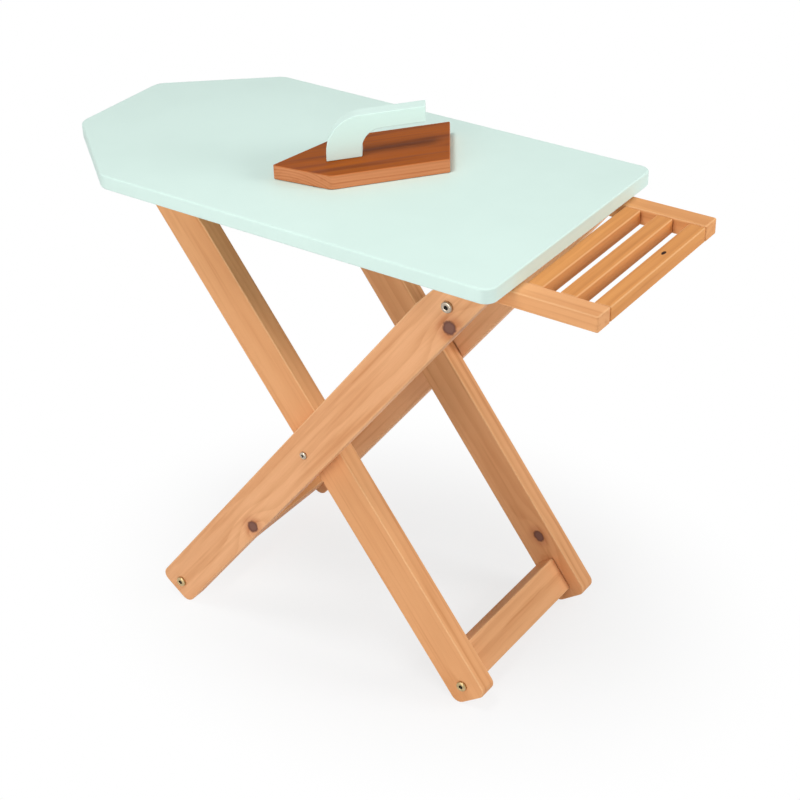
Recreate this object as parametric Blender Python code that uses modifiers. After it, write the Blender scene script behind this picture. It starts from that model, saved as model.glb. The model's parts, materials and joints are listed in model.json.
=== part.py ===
"""A toy ironing board on folding crossed legs, with a slatted rest at its end and a loose wooden iron.

Metres, +Z up. The origin is at the bottom centre of the object: the nose points to -X, the rest to +X.
"near" pieces are on the -Y side and "far" pieces on the +Y side.
"""

import math

import bmesh
import bpy
from mathutils import Vector

# Board
BOARD_TOP_Z = 0.500
BOARD_LENGTH = 0.540
BOARD_WIDTH = 0.285
BOARD_THICK = 0.015
BOARD_CORNER_RADIUS = 0.012
BOARD_EDGE_EASE = 0.0025
NOSE_LENGTH = 0.1035
NOSE_TIP_WIDTH = 0.1165
NOSE_CORNER_RADIUS = 0.018

# Rest for the iron
RACK_OVERHANG = 0.0838
RAIL_WIDTH = 0.021
RAIL_THICK = 0.016
SLAT_WIDTH = 0.0165
SLAT_THICK = 0.015
SLAT_TO_BOARD = 0.0015

# Blocks under the board that carry the outer legs
CLEAT_LENGTH = 0.042
CLEAT_BEYOND_PIVOT = 0.013
CLEAT_HEIGHT = 0.034
PIVOT_INSET = 0.0511
PIVOT_DEPTH = 0.0200

# Legs
LEG_WIDTH = 0.044
LEG_THICK = 0.020
LEG_EDGE_EASE = 0.0015
FOOT_CORNER_RADIUS = 0.0095
LEG_TOP_RADIUS = 0.0194
LEG_TOP_TAPER = math.radians(5.6)
OUTER_LEG_INSET = 0.0128
CENTRE_PIVOT_X = 0.0076
CENTRE_PIVOT_Z = 0.2511
INNER_TOP_X = -0.1476
INNER_TOP_DEPTH = 0.0212

# Bars between the legs
STRETCHER_WIDTH = 0.038
STRETCHER_THICK = 0.020
STRETCHER_ABOVE_FOOT = 0.0113
STRETCHER_SHIFT = 0.003
FOOT_BOLT_ABOVE_FOOT = 0.0178
FOOT_DOWEL_ABOVE_BOLT = 0.0195
TOP_BAR_RADIUS = 0.012

# Fasteners
BOLT_RADIUS = 0.0030
BOLT_HEAD_RADIUS = 0.0056
BOLT_HEAD_HEIGHT = 0.0030
BOLT_CROWN_SHARE = 0.7
BOLT_RIM_SHARE = 0.55
BOLT_SOCKET_RADIUS = 0.0023
BOLT_SOCKET_DEPTH = 0.0020
PIVOT_BOLT_LENGTH = 0.038
FOOT_BOLT_LENGTH = 0.052
INSERT_NUT_RADIUS = 0.0050
INSERT_NUT_LENGTH = 0.012
BARREL_NUT_RADIUS = 0.0050
BARREL_NUT_LENGTH = 0.010
BARREL_NUT_FROM_END = 0.024
SCREW_RADIUS = 0.0020
SCREW_HEAD_RADIUS = 0.0040
SCREW_HEAD_HEIGHT = 0.0022
SCREW_CROWN_SHARE = 0.6
SCREW_SHOULDER_SHARE = 0.9
SCREW_RIM_SHARE = 0.35
SCREW_TIP_LENGTH = 0.004
RECESS_DEPTH = 0.0014
RECESS_WIDTH = 0.0010
RECESS_LENGTH = 0.0042
SCREW_INTO_BOARD = 0.009
CLEAT_COUNTERBORE = 0.010
CLEAT_SCREW_SHARES = {"inner": 0.75, "outer": 0.25}
CENTRE_SCREW_LENGTH = 0.034
TOP_BAR_SCREW_LENGTH = 0.046
IRON_SCREW_INTO_HANDLE = 0.014
WASHER_RADIUS = 0.0080
LEG_GAP = 0.0015
SLAT_DOWEL_RADIUS = 0.003
SLAT_DOWEL_IN_RAIL = 0.010
SLAT_DOWEL_IN_SLAT = 0.014
DOWEL_RADIUS = 0.004
FOOT_DOWEL_IN_LEG = 0.012
FOOT_DOWEL_IN_STRETCHER = 0.018
RAIL_DOWEL_IN_CLEAT = 0.008
RAIL_DOWEL_IN_RAIL = 0.016

# Iron
IRON_X = -0.0246
IRON_Y = -0.0188
IRON_TURN = math.radians(50.8)
IRON_WIDTH = 0.0835
IRON_BODY_LENGTH = 0.115
IRON_NOSE_LENGTH = 0.059
IRON_SKEW = 0.013
IRON_BASE_THICK = 0.0140
IRON_EDGE_EASE = 0.0008
IRON_NOSE_RADIUS = 0.002
IRON_SIDE_RADIUS = 0.008
IRON_BACK_RADIUS = 0.0015
HANDLE_THICK = 0.015
HANDLE_FRONT = -0.0069
HANDLE_Y = -0.0030
HANDLE_POST_WIDTH = 0.0345
HANDLE_HEIGHT = 0.042
HANDLE_OUTER_RADIUS = 0.0335
HANDLE_INNER_RADIUS = 0.0185
HANDLE_BAR_HEIGHT = 0.0158
HANDLE_BAR_END = 0.0907
HANDLE_EDGE_EASE = 0.0010
IRON_SCREW_SHARES = {"front": 0.2, "back": 0.7}

# Clearances
SEAT_GAP = 0.0003
HOLE_CLEARANCE = 0.0003
RUNNING_CLEARANCE = 0.0004
CUT_OVERRUN = 0.002

# Mesh settings
ARC_STEPS = 6
TURN_STEPS = 12
EASE_STEPS = 2
HEX_SIDES = 6
WELD_DISTANCE = 1e-6
AXIS_WELD_DISTANCE = 1e-5
FLAT_ANGLE = math.radians(0.6)
EASE_ANGLE = math.radians(50)
SMOOTH_ANGLE = math.radians(35)

# Places that follow from the sizes above
SIDES = {"near": -1, "far": 1}
NOSE_X = -(BOARD_LENGTH + RACK_OVERHANG) / 2
BOARD_END_X = NOSE_X + BOARD_LENGTH
RACK_END_X = BOARD_END_X + RACK_OVERHANG
UNDERSIDE_Z = BOARD_TOP_Z - BOARD_THICK
OUTER_LEG_Y = BOARD_WIDTH / 2 - OUTER_LEG_INSET - LEG_THICK / 2
OUTER_INSIDE_Y = OUTER_LEG_Y - LEG_THICK / 2
RAIL_OUTSIDE_Y = OUTER_INSIDE_Y - LEG_GAP
RAIL_Y = RAIL_OUTSIDE_Y - RAIL_WIDTH / 2
RAIL_INSIDE_Y = RAIL_OUTSIDE_Y - RAIL_WIDTH
INNER_LEG_Y = RAIL_OUTSIDE_Y - LEG_THICK / 2
INNER_INSIDE_Y = RAIL_OUTSIDE_Y - LEG_THICK
PIVOT = Vector((BOARD_END_X - PIVOT_INSET, 0, UNDERSIDE_Z - PIVOT_DEPTH))
CENTRE = Vector((CENTRE_PIVOT_X, 0, CENTRE_PIVOT_Z))
INNER_TOP = Vector((INNER_TOP_X, 0, UNDERSIDE_Z - INNER_TOP_DEPTH))
OUTER_LEAN = math.atan2(PIVOT.x - CENTRE.x, PIVOT.z - CENTRE.z)
INNER_LEAN = math.atan2(INNER_TOP.x - CENTRE.x, INNER_TOP.z - CENTRE.z)
CENTRE_DROP = (PIVOT - CENTRE).length
INNER_RISE = (INNER_TOP - CENTRE).length
RAIL_TOP_Z = UNDERSIDE_Z - SEAT_GAP
RAIL_Z = RAIL_TOP_Z - RAIL_THICK / 2
CLEAT_Z = RAIL_TOP_Z - CLEAT_HEIGHT / 2
CLEAT_END_X = PIVOT.x + CLEAT_BEYOND_PIVOT
CLEAT_START_X = CLEAT_END_X - CLEAT_LENGTH
RAIL_START_X = CLEAT_END_X + SEAT_GAP
IRON_Z = BOARD_TOP_Z + SEAT_GAP
HANDLE_Z = IRON_BASE_THICK + SEAT_GAP


def clear_scene():
    for old in list(bpy.data.objects):
        bpy.data.objects.remove(old)


def new_collection(name, hidden=False):
    collection = bpy.data.collections.new(name)
    collection.hide_render = hidden
    bpy.context.scene.collection.children.link(collection)
    return collection


def new_material(name, colour, roughness, metallic=0.0):
    material = bpy.data.materials.new(name)
    material.use_nodes = True
    shader = material.node_tree.nodes["Principled BSDF"]
    shader.inputs["Base Color"].default_value = (*colour, 1)
    shader.inputs["Roughness"].default_value = roughness
    shader.inputs["Metallic"].default_value = metallic
    return material


clear_scene()
PARTS = new_collection("toy_ironing_board")
CUTTERS = new_collection("cutters", hidden=True)
MINT = new_material("mint_paint", (0.69, 0.86, 0.79), 0.35)
PINE = new_material("varnished_pine", (0.73, 0.35, 0.15), 0.4)
BEECH = new_material("beech_dowel", (0.70, 0.50, 0.30), 0.6)
STAIN = new_material("stained_sole", (0.44, 0.13, 0.03), 0.45)
STEEL = new_material("steel", (0.62, 0.62, 0.60), 0.3, 1.0)
YELLOW_ZINC = new_material("yellow_zinc", (0.62, 0.47, 0.20), 0.35, 1.0)


def new_frame(name, location, lean=0.0, turn=0.0):
    """An empty that carries one rigid group of pieces, on the axis that the group moves about."""
    frame = bpy.data.objects.new(name, None)
    frame.location = location
    frame.rotation_euler = (0, lean, turn)
    PARTS.objects.link(frame)
    return frame


def place(name, mesh, frame, location, material=None, rotation=(0, 0, 0)):
    item = bpy.data.objects.new(name, mesh)
    item.parent = frame
    item.location = location
    item.rotation_euler = rotation
    if material:
        mesh.materials.append(material)
    (PARTS if material else CUTTERS).objects.link(item)
    if not material:
        item.hide_render = True
        item.display_type = "WIRE"
    return item


def finish_mesh(name, bm, smooth=False):
    mesh = bpy.data.meshes.new(name)
    bm.to_mesh(mesh)
    bm.free()
    if smooth:
        mesh.shade_smooth()
        mesh.set_sharp_from_angle(angle=SMOOTH_ANGLE)
    return mesh


def box_mesh(name, size):
    bm = bmesh.new()
    bmesh.ops.create_cube(bm, size=1)
    bmesh.ops.scale(bm, vec=size, verts=bm.verts)
    return finish_mesh(name, bm)


def rod_mesh(name, radius, length, segments=TURN_STEPS):
    bm = bmesh.new()
    bmesh.ops.create_cone(bm, cap_ends=True, segments=segments, radius1=radius, radius2=radius, depth=length)
    return finish_mesh(name, bm, smooth=True)


def along(axis):
    """The rotation that turns a piece made along Z to lie along the given direction."""
    return Vector((0, 0, 1)).rotation_difference(Vector(axis)).to_euler()


def arc(centre, radius, start, end):
    """Points on an arc, with the angles in degrees."""
    points = []
    for step in range(ARC_STEPS + 1):
        angle = math.radians(start + (end - start) * step / ARC_STEPS)
        points.append((centre[0] + radius * math.cos(angle), centre[1] + radius * math.sin(angle)))
    return points


def rounded(corners):
    """The outline through (x, y, radius) corners, anticlockwise, with an arc at each one."""
    points = []
    for index, (x, y, radius) in enumerate(corners):
        corner = Vector((x, y))
        back = (Vector(corners[index - 1][:2]) - corner).normalized()
        ahead = (Vector(corners[(index + 1) % len(corners)][:2]) - corner).normalized()
        half = back.angle(ahead) / 2
        centre = corner + (back + ahead).normalized() * radius / math.sin(half)
        start = corner + back * radius / math.tan(half) - centre
        sweep = 180 - math.degrees(2 * half)
        angle = math.degrees(math.atan2(start.y, start.x))
        points += arc(centre, radius, angle, angle + sweep)
    return points


def plate_mesh(name, outline, thickness):
    """A flat piece of the given outline, in XY, centred on its thickness."""
    curve = bpy.data.curves.new(name, "CURVE")
    curve.dimensions = "2D"
    curve.fill_mode = "BOTH"
    curve.extrude = thickness / 2
    spline = curve.splines.new("POLY")
    spline.points.add(len(outline) - 1)
    spline.use_cyclic_u = True
    for point, (x, y) in zip(spline.points, outline):
        point.co = (x, y, 0, 1)
    guide = bpy.data.objects.new(name + "_outline", curve)
    PARTS.objects.link(guide)
    mesh = bpy.data.meshes.new_from_object(guide.evaluated_get(bpy.context.evaluated_depsgraph_get()))
    bpy.data.objects.remove(guide)
    bm = bmesh.new()
    bm.from_mesh(mesh)
    bmesh.ops.remove_doubles(bm, verts=bm.verts, dist=WELD_DISTANCE)
    bmesh.ops.dissolve_limit(bm, angle_limit=FLAT_ANGLE, verts=bm.verts, edges=bm.edges)
    bmesh.ops.recalc_face_normals(bm, faces=bm.faces)
    return finish_mesh(name, bm)


def ease_edges(item, width):
    bevel = item.modifiers.new("eased_edges", "BEVEL")
    bevel.width = width
    bevel.segments = EASE_STEPS
    bevel.limit_method = "ANGLE"
    bevel.angle_limit = EASE_ANGLE


def cut(item, cutter):
    boolean = item.modifiers.new(cutter.name, "BOOLEAN")
    boolean.operation = "DIFFERENCE"
    boolean.solver = "EXACT"
    boolean.object = cutter


def drill(item, name, radius, start, end):
    """A round hole in the item from start to end, both in the item's frame."""
    start, end = Vector(start), Vector(end)
    mesh = rod_mesh("cut_" + name, radius, (end - start).length)
    cut(item, place("cut_" + name, mesh, item.parent, (start + end) / 2, rotation=along(end - start)))


def turned(name, profile, frame, location, material, axis, closed=False):
    """A turned piece: (radius, height) points that run down the outer side, about the given axis."""
    bm = bmesh.new()
    points = [bm.verts.new((radius, 0, height)) for radius, height in profile]
    for first, second in zip(points, points[1:]):
        bm.edges.new((first, second))
    if closed:
        bm.edges.new((points[-1], points[0]))
    item = place(name, finish_mesh(name, bm), frame, location, material, along(axis))
    screw = item.modifiers.new("turned", "SCREW")
    screw.axis = "Z"
    screw.steps = TURN_STEPS
    screw.render_steps = TURN_STEPS
    screw.use_merge_vertices = True
    screw.merge_threshold = AXIS_WELD_DISTANCE
    return item


def ring(name, outer, inner, length, frame, location, material, axis=(0, 1, 0)):
    half = length / 2
    profile = [(outer, half), (outer, -half), (inner, -half), (inner, half)]
    return turned(name, profile, frame, location, material, axis, closed=True)


def bolt(name, length, frame, location, axis, material):
    """A socket-head bolt. Its head sits at the location and points along the axis."""
    profile = [
        (0, BOLT_HEAD_HEIGHT),
        (BOLT_HEAD_RADIUS * BOLT_CROWN_SHARE, BOLT_HEAD_HEIGHT),
        (BOLT_HEAD_RADIUS, BOLT_HEAD_HEIGHT * BOLT_RIM_SHARE),
        (BOLT_HEAD_RADIUS, 0),
        (BOLT_RADIUS, 0),
        (BOLT_RADIUS, -length),
        (0, -length),
    ]
    item = turned(name, profile, frame, location, material, axis)
    depth = BOLT_SOCKET_DEPTH + CUT_OVERRUN
    mesh = rod_mesh("cut_" + name, BOLT_SOCKET_RADIUS, depth, segments=HEX_SIDES)
    middle = Vector(location) + Vector(axis) * (BOLT_HEAD_HEIGHT - BOLT_SOCKET_DEPTH + depth / 2)
    cut(item, place("cut_" + name, mesh, frame, middle, rotation=along(axis)))
    return item


def wood_screw(name, length, frame, location, axis, material):
    """A cross-head screw. Its head sits at the location and points along the axis."""
    profile = [
        (0, SCREW_HEAD_HEIGHT),
        (SCREW_HEAD_RADIUS * SCREW_CROWN_SHARE, SCREW_HEAD_HEIGHT * SCREW_SHOULDER_SHARE),
        (SCREW_HEAD_RADIUS, SCREW_HEAD_HEIGHT * SCREW_RIM_SHARE),
        (SCREW_HEAD_RADIUS, 0),
        (SCREW_RADIUS, 0),
        (SCREW_RADIUS, SCREW_TIP_LENGTH - length),
        (0, -length),
    ]
    item = turned(name, profile, frame, location, material, axis)
    depth = RECESS_DEPTH + CUT_OVERRUN
    middle = Vector(location) + Vector(axis) * (SCREW_HEAD_HEIGHT - RECESS_DEPTH + depth / 2)
    arms = {"a": (RECESS_LENGTH, RECESS_WIDTH, depth), "b": (RECESS_WIDTH, RECESS_LENGTH, depth)}
    for arm, size in arms.items():
        mesh = box_mesh("cut_" + name + arm, size)
        cut(item, place("cut_" + name + arm, mesh, frame, middle, rotation=along(axis)))
    return item


def bar(name, size, frame, location, material=PINE, ease=LEG_EDGE_EASE):
    item = place(name, box_mesh(name, size), frame, location, material)
    ease_edges(item, ease)
    return item


def dowel(name, radius, start, end, frame):
    start, end = Vector(start), Vector(end)
    mesh = rod_mesh(name, radius, (end - start).length)
    return place(name, mesh, frame, (start + end) / 2, BEECH, along(end - start))


def peg(name, radius, start, end, frame, first, second):
    """A dowel from start to end with its two blind holes, in the pieces at its start and at its end."""
    start, end = Vector(start), Vector(end)
    dowel(name, radius, start, end, frame)
    spare = (end - start).normalized() * HOLE_CLEARANCE
    for label, item in (("start", first), ("end", second)):
        drill(item, f"{name}_{label}", radius + HOLE_CLEARANCE, start - spare, end + spare)


def build_board(frame):
    half, tip = BOARD_WIDTH / 2, NOSE_TIP_WIDTH / 2
    shoulder = NOSE_X + NOSE_LENGTH
    outline = rounded([
        (NOSE_X, -tip, NOSE_CORNER_RADIUS),
        (shoulder, -half, NOSE_CORNER_RADIUS),
        (BOARD_END_X, -half, BOARD_CORNER_RADIUS),
        (BOARD_END_X, half, BOARD_CORNER_RADIUS),
        (shoulder, half, NOSE_CORNER_RADIUS),
        (NOSE_X, tip, NOSE_CORNER_RADIUS),
    ])
    mesh = plate_mesh("board_top", outline, BOARD_THICK)
    board = place("board_top", mesh, frame, (0, 0, BOARD_TOP_Z - BOARD_THICK / 2), MINT)
    ease_edges(board, BOARD_EDGE_EASE)
    return board


def build_rack(frame):
    """The two rails and the slats between them, pegged together. Returns the rails by side."""
    rail_length = RACK_END_X - RAIL_START_X
    rails = {}
    for side, sign in SIDES.items():
        middle = (RAIL_START_X + rail_length / 2, sign * RAIL_Y, RAIL_Z)
        rails[side] = bar(f"rack_rail_{side}", (rail_length, RAIL_WIDTH, RAIL_THICK), frame, middle)
    first_x = BOARD_END_X + SLAT_TO_BOARD + SLAT_WIDTH / 2
    last_x = RACK_END_X - SLAT_WIDTH / 2
    slat_length = 2 * (RAIL_INSIDE_Y - SEAT_GAP)
    for index, place_name in enumerate(("inner", "middle", "outer")):
        x = first_x + (last_x - first_x) * index / 2
        slat = bar(f"rack_slat_{place_name}", (SLAT_WIDTH, slat_length, SLAT_THICK), frame, (x, 0, RAIL_Z))
        for side, sign in SIDES.items():
            start = (x, sign * (RAIL_INSIDE_Y + SLAT_DOWEL_IN_RAIL), RAIL_Z)
            end = (x, sign * (RAIL_INSIDE_Y - SEAT_GAP - SLAT_DOWEL_IN_SLAT), RAIL_Z)
            name = f"slat_dowel_{place_name}_{side}"
            peg(name, SLAT_DOWEL_RADIUS, start, end, frame, rails[side], slat)
    return rails


def screw_up(name, frame, head, tip_z, carrier, board):
    """A screw whose head points down at the given place, through the carrier and into the board."""
    x, y, z = head
    wood_screw(name, tip_z - z, frame, head, (0, 0, -1), STEEL)
    radius = SCREW_RADIUS + HOLE_CLEARANCE
    drill(carrier, name + "_way", radius, (x, y, z - CUT_OVERRUN), (x, y, UNDERSIDE_Z + CUT_OVERRUN))
    drill(board, name + "_hold", radius, (x, y, UNDERSIDE_Z - CUT_OVERRUN), (x, y, tip_z + HOLE_CLEARANCE))


def build_supports(frame, board, rails):
    """The cleats under the board, their screws, the rails' pegs and screws, and the outer legs' pivots."""
    tip_z = UNDERSIDE_Z + SCREW_INTO_BOARD
    cleat_low = CLEAT_Z - CLEAT_HEIGHT / 2
    nut_side = PIVOT.x - INSERT_NUT_RADIUS
    for side, sign in SIDES.items():
        y = sign * RAIL_Y
        size = (CLEAT_LENGTH, RAIL_WIDTH, CLEAT_HEIGHT)
        cleat = bar(f"pivot_cleat_{side}", size, frame, ((CLEAT_START_X + CLEAT_END_X) / 2, y, CLEAT_Z))
        start = (CLEAT_END_X - RAIL_DOWEL_IN_CLEAT, y, RAIL_Z)
        end = (RAIL_START_X + RAIL_DOWEL_IN_RAIL, y, RAIL_Z)
        peg(f"rail_dowel_{side}", DOWEL_RADIUS, start, end, frame, cleat, rails[side])
        for place_name, share in CLEAT_SCREW_SHARES.items():
            name = f"cleat_screw_{side}_{place_name}"
            x = nut_side + share * (CLEAT_START_X - nut_side)
            seat = cleat_low + CLEAT_COUNTERBORE
            wide = SCREW_HEAD_RADIUS + HOLE_CLEARANCE
            drill(cleat, name + "_bore", wide, (x, y, cleat_low - CUT_OVERRUN), (x, y, seat))
            screw_up(name, frame, (x, y, seat - HOLE_CLEARANCE), tip_z, cleat, board)
        x = (RAIL_START_X + RAIL_DOWEL_IN_RAIL + BOARD_END_X) / 2
        head = (x, y, RAIL_TOP_Z - RAIL_THICK - SEAT_GAP)
        screw_up(f"rail_screw_{side}", frame, head, tip_z, rails[side], board)
        build_pivot(frame, side, sign, cleat)


def build_pivot(frame, side, sign, cleat):
    outward = (0, sign, 0)
    head_y = OUTER_LEG_Y + LEG_THICK / 2 + SEAT_GAP
    bolt(f"pivot_bolt_{side}", PIVOT_BOLT_LENGTH, frame, (PIVOT.x, sign * head_y, PIVOT.z), outward, STEEL)
    ring(
        f"pivot_washer_{side}", WASHER_RADIUS, BOLT_RADIUS + RUNNING_CLEARANCE, LEG_GAP - 2 * SEAT_GAP,
        frame, (PIVOT.x, sign * (OUTER_INSIDE_Y - LEG_GAP / 2), PIVOT.z), STEEL,
    )
    nut_y = RAIL_OUTSIDE_Y - SEAT_GAP - INSERT_NUT_LENGTH / 2
    ring(
        f"insert_nut_{side}", INSERT_NUT_RADIUS, BOLT_RADIUS + HOLE_CLEARANCE, INSERT_NUT_LENGTH,
        frame, (PIVOT.x, sign * nut_y, PIVOT.z), YELLOW_ZINC,
    )
    mouth = (PIVOT.x, sign * (RAIL_OUTSIDE_Y + CUT_OVERRUN), PIVOT.z)
    pocket_end = RAIL_OUTSIDE_Y - 2 * SEAT_GAP - INSERT_NUT_LENGTH
    pocket = (PIVOT.x, sign * pocket_end, PIVOT.z)
    drill(cleat, f"insert_nut_{side}", INSERT_NUT_RADIUS + HOLE_CLEARANCE, mouth, pocket)
    tip = (PIVOT.x, sign * (head_y - PIVOT_BOLT_LENGTH - 2 * HOLE_CLEARANCE), PIVOT.z)
    drill(cleat, f"pivot_bolt_{side}", BOLT_RADIUS + HOLE_CLEARANCE, mouth, tip)


def foot_drop(axis_z, lean):
    """How far below an axis at this height a leg of this lean ends, standing on its rounded corner."""
    corner = LEG_WIDTH / 2 - FOOT_CORNER_RADIUS
    reach = axis_z - FOOT_CORNER_RADIUS - corner * math.sin(abs(lean))
    return FOOT_CORNER_RADIUS + reach / math.cos(lean)


def leg_outline(top_z, foot_z, lean):
    """A leg along Z with rounded foot corners.

    Its top is cut level, close under the board, and rounded over on the side that turns up in folding.
    """
    half = LEG_WIDTH / 2
    side = math.copysign(1, lean)
    slant = (half - LEG_TOP_RADIUS * math.cos(LEG_TOP_TAPER)) / math.sin(LEG_TOP_TAPER)
    shoulder = top_z + LEG_TOP_RADIUS * math.sin(LEG_TOP_TAPER) - slant * math.cos(LEG_TOP_TAPER)
    peak = top_z + (LEG_TOP_RADIUS + half * math.sin(abs(lean))) / math.cos(lean)
    level = 90 + math.degrees(abs(lean))
    over = arc((0, top_z), LEG_TOP_RADIUS, level, 180 - math.degrees(LEG_TOP_TAPER))
    corner = half - FOOT_CORNER_RADIUS
    low = foot_z + FOOT_CORNER_RADIUS
    left = arc((-corner, low), FOOT_CORNER_RADIUS, 180, 270)
    right = arc((corner, low), FOOT_CORNER_RADIUS, 270, 360)
    outline = [(half, peak)] + over + [(-half, shoulder)] + left + right
    return [(side * x, z) for x, z in outline]


def build_leg(name, frame, y, top_z, foot_z, lean):
    mesh = plate_mesh(name, leg_outline(top_z, foot_z, lean), LEG_THICK)
    leg = place(name, mesh, frame, (0, y, 0), PINE, (math.pi / 2, 0, 0))
    ease_edges(leg, LEG_EDGE_EASE)
    return leg


def drill_across(leg, name, radius, y, z, sign):
    """A hole through a leg from its outer to its inner face."""
    outer = y + LEG_THICK / 2 + CUT_OVERRUN
    inner = y - LEG_THICK / 2 - CUT_OVERRUN
    drill(leg, name, radius, (0, sign * outer, z), (0, sign * inner, z))


def build_stretcher(pair, frame, legs, leg_y, foot_z, shift):
    """The bar between a pair's feet, with the bolts, cross nuts and dowels that hold it."""
    inside = leg_y - LEG_THICK / 2
    length = 2 * (inside - SEAT_GAP)
    middle_z = foot_z + STRETCHER_ABOVE_FOOT + STRETCHER_WIDTH / 2
    size = (STRETCHER_THICK, length, STRETCHER_WIDTH)
    stretcher = bar(f"{pair}_foot_stretcher", size, frame, (shift, 0, middle_z))
    bolt_z = foot_z + FOOT_BOLT_ABOVE_FOOT
    dowel_z = bolt_z + FOOT_DOWEL_ABOVE_BOLT
    for side, sign in SIDES.items():
        head_y = leg_y + LEG_THICK / 2 + SEAT_GAP
        name = f"{pair}_foot_bolt_{side}"
        bolt(name, FOOT_BOLT_LENGTH, frame, (0, sign * head_y, bolt_z), (0, sign, 0), YELLOW_ZINC)
        way = BOLT_RADIUS + HOLE_CLEARANCE
        drill_across(legs[side], name + "_way", way, leg_y, bolt_z, sign)
        tip_y = head_y - FOOT_BOLT_LENGTH - 2 * HOLE_CLEARANCE
        mouth = (0, sign * (inside + CUT_OVERRUN), bolt_z)
        drill(stretcher, name + "_hold", way, mouth, (0, sign * tip_y, bolt_z))

        nut_y = sign * (length / 2 - BARREL_NUT_FROM_END)
        nut_name = f"{pair}_barrel_nut_{side}"
        nut_mesh = rod_mesh(nut_name, BARREL_NUT_RADIUS, BARREL_NUT_LENGTH)
        inward = math.copysign(1, shift)
        nut = place(nut_name, nut_mesh, frame, (0, nut_y, bolt_z), YELLOW_ZINC, along((1, 0, 0)))
        reach = (0, nut_y + sign * 2 * BARREL_NUT_RADIUS, bolt_z)
        drill(nut, nut_name + "_way", way, reach, (0, nut_y - sign * 2 * BARREL_NUT_RADIUS, bolt_z))
        pocket_end = -inward * (BARREL_NUT_LENGTH / 2 + HOLE_CLEARANCE)
        pocket_mouth = shift + inward * (STRETCHER_THICK / 2 + CUT_OVERRUN)
        wide = BARREL_NUT_RADIUS + HOLE_CLEARANCE
        drill(stretcher, nut_name, wide, (pocket_mouth, nut_y, bolt_z), (pocket_end, nut_y, bolt_z))

        start = (0, sign * (inside + FOOT_DOWEL_IN_LEG), dowel_z)
        end = (0, sign * (inside - SEAT_GAP - FOOT_DOWEL_IN_STRETCHER), dowel_z)
        peg(f"{pair}_foot_dowel_{side}", DOWEL_RADIUS, start, end, frame, legs[side], stretcher)


def build_outer_frame(frame):
    """The outer pair of legs. Its frame has the top pivot as origin and Z along the legs."""
    foot_z = -foot_drop(PIVOT.z, OUTER_LEAN)
    legs = {}
    for side, sign in SIDES.items():
        leg = build_leg(f"outer_leg_{side}", frame, sign * OUTER_LEG_Y, 0, foot_z, OUTER_LEAN)
        run = BOLT_RADIUS + RUNNING_CLEARANCE
        drill_across(leg, f"outer_leg_{side}_pivot", run, OUTER_LEG_Y, 0, sign)
        run = SCREW_RADIUS + RUNNING_CLEARANCE
        drill_across(leg, f"outer_leg_{side}_centre", run, OUTER_LEG_Y, -CENTRE_DROP, sign)
        legs[side] = leg
    build_stretcher("outer", frame, legs, OUTER_LEG_Y, foot_z, STRETCHER_SHIFT)


def build_inner_frame(frame):
    """The inner pair of legs. Its frame has the crossing as origin and Z along the legs."""
    foot_z = -foot_drop(CENTRE.z, INNER_LEAN)
    legs = {}
    for side, sign in SIDES.items():
        leg = build_leg(f"inner_leg_{side}", frame, sign * INNER_LEG_Y, INNER_RISE, foot_z, INNER_LEAN)
        legs[side] = leg
        build_centre_pivot(frame, side, sign, leg)
    build_stretcher("inner", frame, legs, INNER_LEG_Y, foot_z, -STRETCHER_SHIFT)
    build_top_bar(frame, legs)


def build_centre_pivot(frame, side, sign, leg):
    """The screw and the washer where an outer and an inner leg cross."""
    head_y = OUTER_LEG_Y + LEG_THICK / 2 + SEAT_GAP
    name = f"centre_screw_{side}"
    wood_screw(name, CENTRE_SCREW_LENGTH, frame, (0, sign * head_y, 0), (0, sign, 0), STEEL)
    mouth = (0, sign * (RAIL_OUTSIDE_Y + CUT_OVERRUN), 0)
    tip = (0, sign * (head_y - CENTRE_SCREW_LENGTH - HOLE_CLEARANCE), 0)
    drill(leg, name + "_hold", SCREW_RADIUS + HOLE_CLEARANCE, mouth, tip)
    ring(
        f"centre_washer_{side}", WASHER_RADIUS, SCREW_RADIUS + RUNNING_CLEARANCE, LEG_GAP - 2 * SEAT_GAP,
        frame, (0, sign * (OUTER_INSIDE_Y - LEG_GAP / 2), 0), STEEL,
    )


def build_top_bar(frame, legs):
    """The round bar that joins the inner legs' tops, with a screw in each end."""
    length = 2 * (INNER_INSIDE_Y - SEAT_GAP)
    mesh = rod_mesh("inner_top_bar", TOP_BAR_RADIUS, length, segments=2 * TURN_STEPS)
    top_bar = place("inner_top_bar", mesh, frame, (0, 0, INNER_RISE), PINE, along((0, 1, 0)))
    for side, sign in SIDES.items():
        name = f"top_bar_screw_{side}"
        sink = SCREW_HEAD_HEIGHT + SEAT_GAP
        head_y = RAIL_OUTSIDE_Y - sink
        wood_screw(name, TOP_BAR_SCREW_LENGTH, frame, (0, sign * head_y, INNER_RISE), (0, sign, 0), STEEL)
        wide = SCREW_HEAD_RADIUS + HOLE_CLEARANCE
        mouth = (0, sign * (RAIL_OUTSIDE_Y + CUT_OVERRUN), INNER_RISE)
        seat = (0, sign * (head_y - SEAT_GAP), INNER_RISE)
        drill(legs[side], name + "_seat", wide, mouth, seat)
        way = SCREW_RADIUS + HOLE_CLEARANCE
        drill_across(legs[side], name + "_way", way, INNER_LEG_Y, INNER_RISE, sign)
        bar_mouth = (0, sign * (INNER_INSIDE_Y + CUT_OVERRUN), INNER_RISE)
        tip = (0, sign * (head_y - TOP_BAR_SCREW_LENGTH - HOLE_CLEARANCE), INNER_RISE)
        drill(top_bar, name + "_hold", way, bar_mouth, tip)


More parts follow.
